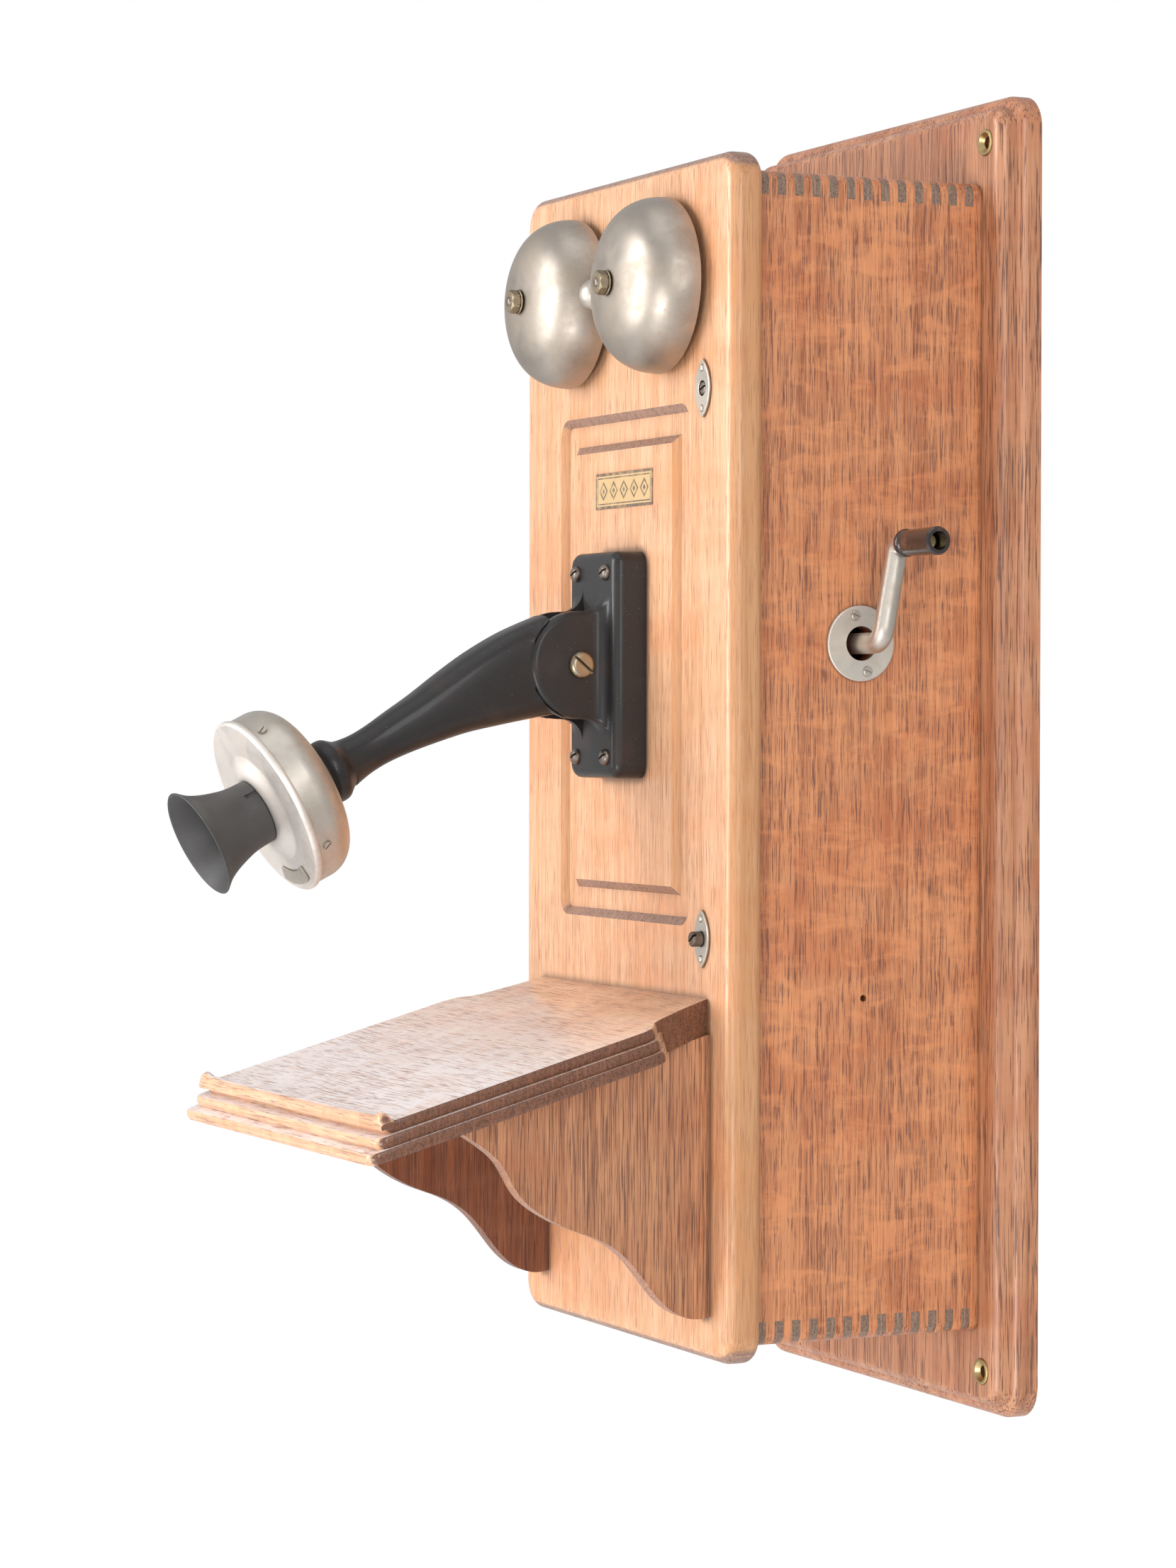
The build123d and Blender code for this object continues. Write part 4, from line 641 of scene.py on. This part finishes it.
bm = bmesh.new()
for side in (-1, 1):
    seat = Vector((side * GONG_X, NUT_HIGH.y, GONG_Z))
    outward = Vector((0, -1, 0))
    washer = [(0, NUT_BORE), (0, WASHER_R - WASHER_EDGE), (WASHER_EDGE, WASHER_R), (0.75, WASHER_R)]
    washer += [(WASHER_T, WASHER_R - WASHER_EDGE), (WASHER_T, NUT_BORE)]
    lathe(bm, washer, seat, outward)
    loops = []
    # a chamfer takes the corners off at both ends of the hexagon
    for rise, reach in ((1, 4.85), (1.5, NUT_CORNER), (4.2, NUT_CORNER), (4.75, 4.85), (5, 4.4)):
        loop = []
        for i in range(NUT_STEPS):
            turn = 2 * pi * i / NUT_STEPS
            flat = NUT_FLAT / cos((turn + pi / 6) % (pi / 3) - pi / 6)
            radius = min(flat, reach)
            loop.append(seat + outward * rise + Vector((radius * cos(turn), 0, radius * sin(turn))))
        loops.append(loop)
    skin(bm, loops)
to_piece("gong_nut_hexagons", bm, "dark_brass", "door", "gong_nuts", sharp=25)


# --- Transmitter bracket --------------------------------------------------------------

BASE_LOW, BASE_HIGH = box_mm("transmitter_bracket")
BRACKET_FACE = 162.2
BRACKET_T = BRACKET_FACE + BASE_HIGH.y
BASE_EDGE = 4.5
BASE_CORNER = 6
PIVOT_RISE = 12.1
LUG_R = 24
LUG_INNER = 9
LUG_OUTER = 15
LUG_EDGE = 3
COVE_UP = 10
COVE_SIDE = 5.5
PIVOT = Vector((0, -BRACKET_FACE - PIVOT_RISE, 41))

bm = bmesh.new()
base_w = BASE_HIGH.x - BASE_LOW.x
base_h = BASE_HIGH.z - BASE_LOW.z
base_mid = (BASE_LOW.z + BASE_HIGH.z) / 2
loops = []
rises = [(0, 0), (BRACKET_T - BASE_EDGE, 0)]
for i in range(1, 9):
    turn = pi / 16 * i
    rises.append((BRACKET_T - BASE_EDGE + BASE_EDGE * sin(turn), BASE_EDGE * (1 - cos(turn))))
for rise, inset in rises:
    loop = rounded_rect(base_w - 2 * inset, base_h - 2 * inset, BASE_CORNER - inset * 0.7)
    loops.append([(u, BASE_HIGH.y - rise, base_mid + v) for u, v in loop])
skin(bm, loops)


def cove(rise, radius):
    """How far a cove of that radius still spreads at that height above its foot."""
    return radius - sqrt(max(0, radius**2 - max(0, radius - max(0, rise)) ** 2))


# close levels near the foot, where the cove is, and again towards the round top
LUG_TURNS = (8, 16, 24, 32, 40, 48, 56, 63, 69, 75, 80, 84, 87, 89)
lug_rises = [-0.6, 0, 0.15, 0.5, 1, 1.8, 3, 4.6, 6.6, 9, PIVOT_RISE]
lug_rises += [PIVOT_RISE + LUG_R * sin(radians(turn)) for turn in LUG_TURNS]
for side in (-1, 1):
    loops = []
    for rise in lug_rises:
        over = max(0, rise - PIVOT_RISE)
        deep = LUG_R - LUG_EDGE
        widest = LUG_EDGE if over <= deep else sqrt(max(0, LUG_EDGE**2 - (over - deep) ** 2))
        half = []
        for share in (-1, 0, 0.35, 0.6, 0.8, 0.92, 0.985, 1):
            room = widest if share > 0 else LUG_OUTER - LUG_EDGE - LUG_INNER
            x = LUG_OUTER - LUG_EDGE + room * share
            depth = max(0, x - LUG_OUTER + LUG_EDGE)
            radius = deep + sqrt(max(0, LUG_EDGE**2 - depth**2))
            reach = sqrt(max(0.0001, radius**2 - over**2)) + cove(rise, COVE_UP)
            x += cove(rise, COVE_SIDE) * max(0, share)
            half.append((side * x, reach))
        loop = half + [(x, -reach) for x, reach in half[::-1]]
        loops.append([(x, -BRACKET_FACE - rise, PIVOT.z + reach) for x, reach in loop])
    skin(bm, loops)
to_piece("bracket_casting", bm, "black_enamel", "door", "transmitter_bracket", sharp=40)


# --- Transmitter arm ------------------------------------------------------------------

HEAD_TILT = radians(27)
HEAD_DIR = Vector((0, -cos(HEAD_TILT), -sin(HEAD_TILT)))
FACE_CENTRE = Vector((0, -318.4, -21.4))
SHOULDER_R = 24.3
TONGUE_HALF = 8.6
# each station: y, z, tilt in degrees, width, height, and how square the section is
ARM_STATIONS = [
    (-183, 41.4, 13, 27.4, 44.4, 3.6),
    (-200, 36.4, 16, 27.4, 40.4, 3.4),
    (-216, 30.4, 20, 26.8, 35, 3.1),
    (-230, 24.3, 23, 25.4, 29.2, 2.8),
    (-244, 17.2, 26, 23, 24, 2.6),
    (-256, 11.2, 29, 20.4, 20.8, 2.4),
    (-266, 5.8, 30, 18.6, 18.8, 2.2),
    (-274, 1.3, 29, 18.8, 19, 2.1),
    (-281, -2.6, 28, 21, 21.6, 2.0),
]

bm = bmesh.new()
loops = []
for y, z, tilt, width, height, power in through(ARM_STATIONS, 6):
    upward = Vector((0, -sin(radians(tilt)), cos(radians(tilt))))
    loop = []
    for u, v in superellipse(width, height, power):
        point = Vector((u, y, z)) + upward * v
        spoke = Vector((0, point.y - PIVOT.y, point.z - PIVOT.z))
        if abs(u) > TONGUE_HALF and spoke.length < SHOULDER_R:
            # the shoulders are hollowed round the bracket's lugs
            point = Vector((u, PIVOT.y, PIVOT.z)) + spoke.normalized() * SHOULDER_R
        loop.append(point)
    loops.append(loop)
skin(bm, loops)
# the tongue between the lugs: a hub round the pivot that widens into the arm
HUB_R = 11.5
outline = []
for degrees in range(-95, 86, 12):
    turn = radians(degrees)
    outline.append((PIVOT.y + HUB_R * cos(turn), PIVOT.z + HUB_R * sin(turn)))
outline += [(-186, 58.5), (-196, 54), (-196, 18), (-184, 19.6)]
skin(bm, [[(x, y, z) for y, z in outline] for x in (-TONGUE_HALF, TONGUE_HALF)])
# the collar behind the cup, then the stem that goes into it, as distances behind the face
collar = [(-43, 0), (-43, 10.4), (-40.6, 11)]
collar += through([(-40.2, 11.4), (-38.6, 12.6), (-36.6, 14), (-34.3, 14.4), (-32, 14.1), (-30.4, 12.9)], 4)
collar += [(-29.6, 12.4), (-24.6, 12), (-23.9, 11.4), (-23.9, 0)]
lathe(bm, collar, FACE_CENTRE, HEAD_DIR)
lathe(bm, [(-24, 0), (-24, 6), (-16, 6), (-16, 0)], FACE_CENTRE, HEAD_DIR, 48)
to_piece("transmitter_arm_casting", bm, "black_enamel", "transmitter", "transmitter_arm", sharp=40)


# --- Mouthpiece -----------------------------------------------------------------------

# the outside from the root to the rim, then the bore back to the throat
bm = bmesh.new()
flare = [(3.2, 4), (3.2, 14.2), (3.5, 14.5)]
flare += through([(4.5, 14.5), (12, 15), (18, 16.4), (24, 18.4), (29, 20.9), (33, 24.1)], 6)
flare += [(33.35, 24.25), (33.6, 23.9), (33.45, 23.3)]
flare += through([(33.2, 23), (28.6, 19.3), (22, 15.7), (12, 12.8), (6, 12.2)], 6)
flare += [(5, 11.6), (5, 4)]
lathe(bm, flare, FACE_CENTRE, HEAD_DIR, 128)
lathe(bm, [(-2, 8.4), (-2, 10.8), (3.3, 10.8), (3.3, 8.4)], FACE_CENTRE, HEAD_DIR)
horn = to_piece("mouthpiece_horn", bm, "black_rubber", "transmitter", "mouthpiece")

# a spanner slot beside the root, cut into the upper right of the horn
SLOT_TURN = radians(42)
slot_side = Vector((1, 0, 0)) * cos(SLOT_TURN) + HEAD_DIR.cross(Vector((1, 0, 0))) * sin(SLOT_TURN)
slot_across = HEAD_DIR.cross(slot_side)
bm = bmesh.new()
slot_mid = FACE_CENTRE + HEAD_DIR * 6.5 + slot_side * 15
corners = []
for along in (-3.5, 2.5):
    corners.append(
        [
            slot_mid + HEAD_DIR * along + slot_side * out + slot_across * wide
            for out, wide in ((-1.3, -1.1), (3, -1.1), (3, 1.1), (-1.3, 1.1))
        ]
    )
skin(bm, corners)
bmesh.ops.recalc_face_normals(bm, faces=bm.faces)
bmesh.ops.scale(bm, vec=(MM, MM, MM), verts=bm.verts)
cutter_mesh = bpy.data.meshes.new("slot_cutter")
bm.to_mesh(cutter_mesh)
bm.free()
cutter = bpy.data.objects.new("slot_cutter", cutter_mesh)
scene.collection.objects.link(cutter)
cut = horn.modifiers.new("slot", "BOOLEAN")
cut.object = cutter
cut.operation = "DIFFERENCE"
cut.solver = "EXACT"
bpy.context.view_layer.update()
solid = bpy.data.meshes.new_from_object(horn.evaluated_get(bpy.context.evaluated_depsgraph_get()))
horn.modifiers.remove(cut)
horn.data = solid
bpy.data.objects.remove(cutter)


# --- Writing shelf --------------------------------------------------------------------

SHELF_BACK_Z = -103.3
DOOR_FACE = 146.5
SHELF_T = 14.4
REEDS = 3
REED_H = SHELF_T / REEDS
SHELF_BACK_X = 84
SHELF_X = 107
SHELF_REACH = 168
SIDE_GROW = (-1.6, 1.3, 3.2)
FRONT_GROW = (-2.5, 3.2, 8.8)
REED_BULGE = 1.2
FRONT_CORNER = 5
REED_START = 0.16
LIP_W = 3.2
LIP_H = 2.6
LIP_OUT = SHELF_REACH - 2.6
LIP_SWELL = 2.4
LIP_SWELL_FROM = 98
LIP_XS = (-108.5, -108, -107, -105.5, -103, -99, -60, -20, 20, 60, 99, 103, 105.5, 107, 108, 108.5)


def on_shelf(x, out, rise):
    """A point given by its distance out along the sloping shelf and above its top."""
    return Vector(
        (
            x,
            -DOOR_FACE - out * cos(SHELF_SLOPE) - rise * sin(SHELF_SLOPE),
            SHELF_BACK_Z - out * sin(SHELF_SLOPE) + rise * cos(SHELF_SLOPE),
        )
    )


def shelf_loop(rise, side_grow, front_grow):
    """The shelf's outline at one level: narrow back, scooped shoulders, moulded sides and front.

    Each point is the distance from the middle and the distance out from the door.
    """
    back_out = -rise * sin(SHELF_SLOPE) / cos(SHELF_SLOPE) + 0.02
    side_x = SHELF_X + side_grow
    front = SHELF_REACH + front_grow
    half = [(SHELF_BACK_X, back_out), (86.5, 12), (91, 25)]
    shoulder = [(92.5, 28.5), (96 + side_grow / 2, 32.5), (side_x - 3, 37), (side_x, 43)]
    half += through(shoulder, 4)
    half += [(side_x, 60), (side_x, 90), (side_x, 120), (side_x, 150)]
    for i in range(7):
        turn = pi / 2 * i / 6
        half.append((side_x - FRONT_CORNER * (1 - cos(turn)), front - FRONT_CORNER * (1 - sin(turn))))
    half += [(60, front), (30, front)]
    whole = half + [(0, front)] + [(-x, out) for x, out in half[::-1]]
    return [on_shelf(x, out, rise) for x, out in whole]


bm = bmesh.new()
loops = [shelf_loop(0, SIDE_GROW[0] - 0.6, FRONT_GROW[0] - 0.6)]
for reed in range(REEDS):
    for i in range(9):
        turn = pi * (REED_START + (1 - 2 * REED_START) * i / 8)
        rise = -REED_H * (reed + 0.5 - 0.5 * cos(turn) / cos(REED_START * pi))
        bulge = REED_BULGE * sin(turn)
        loops.append(shelf_loop(rise, SIDE_GROW[reed] + bulge, FRONT_GROW[reed] + bulge))
loops.append(shelf_loop(-SHELF_T, SIDE_GROW[-1] - 0.8, FRONT_GROW[-1] - 0.8))
skin(bm, loops)
# a low half-round lip along the front, swelling at both ends
lip_loops = []
for x in LIP_XS:
    near_end = (abs(x) - LIP_SWELL_FROM) / 10
    height = LIP_H
    if near_end >= 0:
        height += LIP_SWELL * sin(pi * min(1, near_end)) - 2.2 * max(0, near_end - 0.8) / 0.25
    loop = []
    for i in range(13):
        turn = pi * i / 12
        loop.append(on_shelf(x, LIP_OUT + LIP_W * cos(turn), -0.6 + (height + 0.6) * sin(turn)))
    loop += [on_shelf(x, LIP_OUT - LIP_W, -2), on_shelf(x, LIP_OUT + LIP_W, -2)]
    lip_loops.append(loop)
skin(bm, lip_loops)
to_piece("writing_shelf_moulded", bm, "oak_shelf", "door", "writing_shelf", sharp=38)

for node, width_mm in (
    ("case_side_left", 0.25),
    ("case_side_right", 0.25),
    ("case_top", 0.25),
    ("case_bottom", 0.25),
    ("inner_shelf", 0.5),
    ("shelf_cleats", 0.5),
    ("shelf_bracket_left", 0.7),
    ("shelf_bracket_right", 0.7),
    ("latch_plates", 0.25),
    ("transmitter_badge", 0.3),
    ("generator_magnets", 0.8),
    ("generator_frame", 0.4),
    ("pole_pieces", 0.4),
    ("hook_lever", 0.6),
    ("hook_bracket", 0.3),
    ("ringer_frame", 0.4),
    ("ringer_magnet", 0.6),
    ("induction_coil", 0.5),
    ("dry_cells", 0.5),
):
    soften(node, width_mm)


# --- Stage, light and camera ---------------------------------------------------------


def flat_sheet(name, corners, colour):
    mesh = bpy.data.meshes.new(name)
    mesh.from_pydata(corners, [], [(0, 1, 2, 3)])
    sheet = bpy.data.objects.new(name, mesh)
    scene.collection.objects.link(sheet)
    made, tree, shader = new_material(name)
    shader.inputs["Base Color"].default_value = (*colour, 1)
    shader.inputs["Roughness"].default_value = 0.9
    mesh.materials.append(made)


FLOOR_Z = -1.35
FLOOR_REACH = 3.2
flat_sheet(
    "floor",
    [
        (-FLOOR_REACH, -FLOOR_REACH, FLOOR_Z),
        (FLOOR_REACH, -FLOOR_REACH, FLOOR_Z),
        (FLOOR_REACH, FLOOR_REACH, FLOOR_Z),
        (-FLOOR_REACH, FLOOR_REACH, FLOOR_Z),
    ],
    (0.9, 0.9, 0.9),
)

world = bpy.data.worlds.new("studio")
scene.world = world
world.use_nodes = True
tree = world.node_tree
direction = shader_node(tree, "ShaderNodeTexCoord").outputs["Generated"]
upward = shader_node(tree, "ShaderNodeSeparateXYZ", {0: direction}).outputs[2]
dome = mix(tree, ramp(tree, upward, -0.6, 0.7), (0.5, 0.49, 0.48), (0.58, 0.59, 0.61))
seen = shader_node(tree, "ShaderNodeLightPath").outputs["Is Camera Ray"]
tree.links.new(mix(tree, seen, dome, (1, 1, 1)), tree.nodes["Background"].inputs["Color"])


def soft_light(name, place_m, aim_m, size_m, power_w, tall=None):
    """A rectangular soft box aimed at a point."""
    data = bpy.data.lights.new(name, "AREA")
    data.shape = "RECTANGLE"
    data.size = size_m
    data.size_y = tall or size_m
    data.energy = power_w
    lamp = bpy.data.objects.new(name, data)
    scene.collection.objects.link(lamp)
    lamp.location = place_m
    aim = Vector(aim_m) - Vector(place_m)
    lamp.rotation_euler = aim.to_track_quat("-Z", "Y").to_euler()


soft_light("key", (-0.7, -2.3, 0.35), (0, -0.1, 0), 0.9, 50, tall=2.0)
soft_light("fill", (1.3, -1.9, -0.8), (0, -0.1, 0), 0.9, 20)
soft_light("side", (2.3, -0.5, 0.7), (0, -0.1, 0), 0.8, 17, tall=1.6)
soft_light("top", (0.4, -0.6, 2.4), (0, -0.1, 0), 2.0, 9)

CAMERA_AZIMUTH = radians(64.6)
CAMERA_PITCH = radians(-0.92)
CAMERA_ROLL = radians(0.11)
CAMERA_PLACE = (1.653, -0.9486, 0.0174)
camera_data = bpy.data.cameras.new("camera")
camera_data.lens = 94.0
camera_data.sensor_width = 36.0
camera_data.clip_start = 0.05
camera = bpy.data.objects.new("camera", camera_data)
scene.collection.objects.link(camera)
camera.matrix_world = (
    Matrix.Translation(CAMERA_PLACE)
    @ Matrix.Rotation(CAMERA_AZIMUTH, 4, "Z")
    @ Matrix.Rotation(radians(90) + CAMERA_PITCH, 4, "X")
    @ Matrix.Rotation(CAMERA_ROLL, 4, "Z")
)
scene.camera = camera
scene.view_settings.view_transform = "Standard"
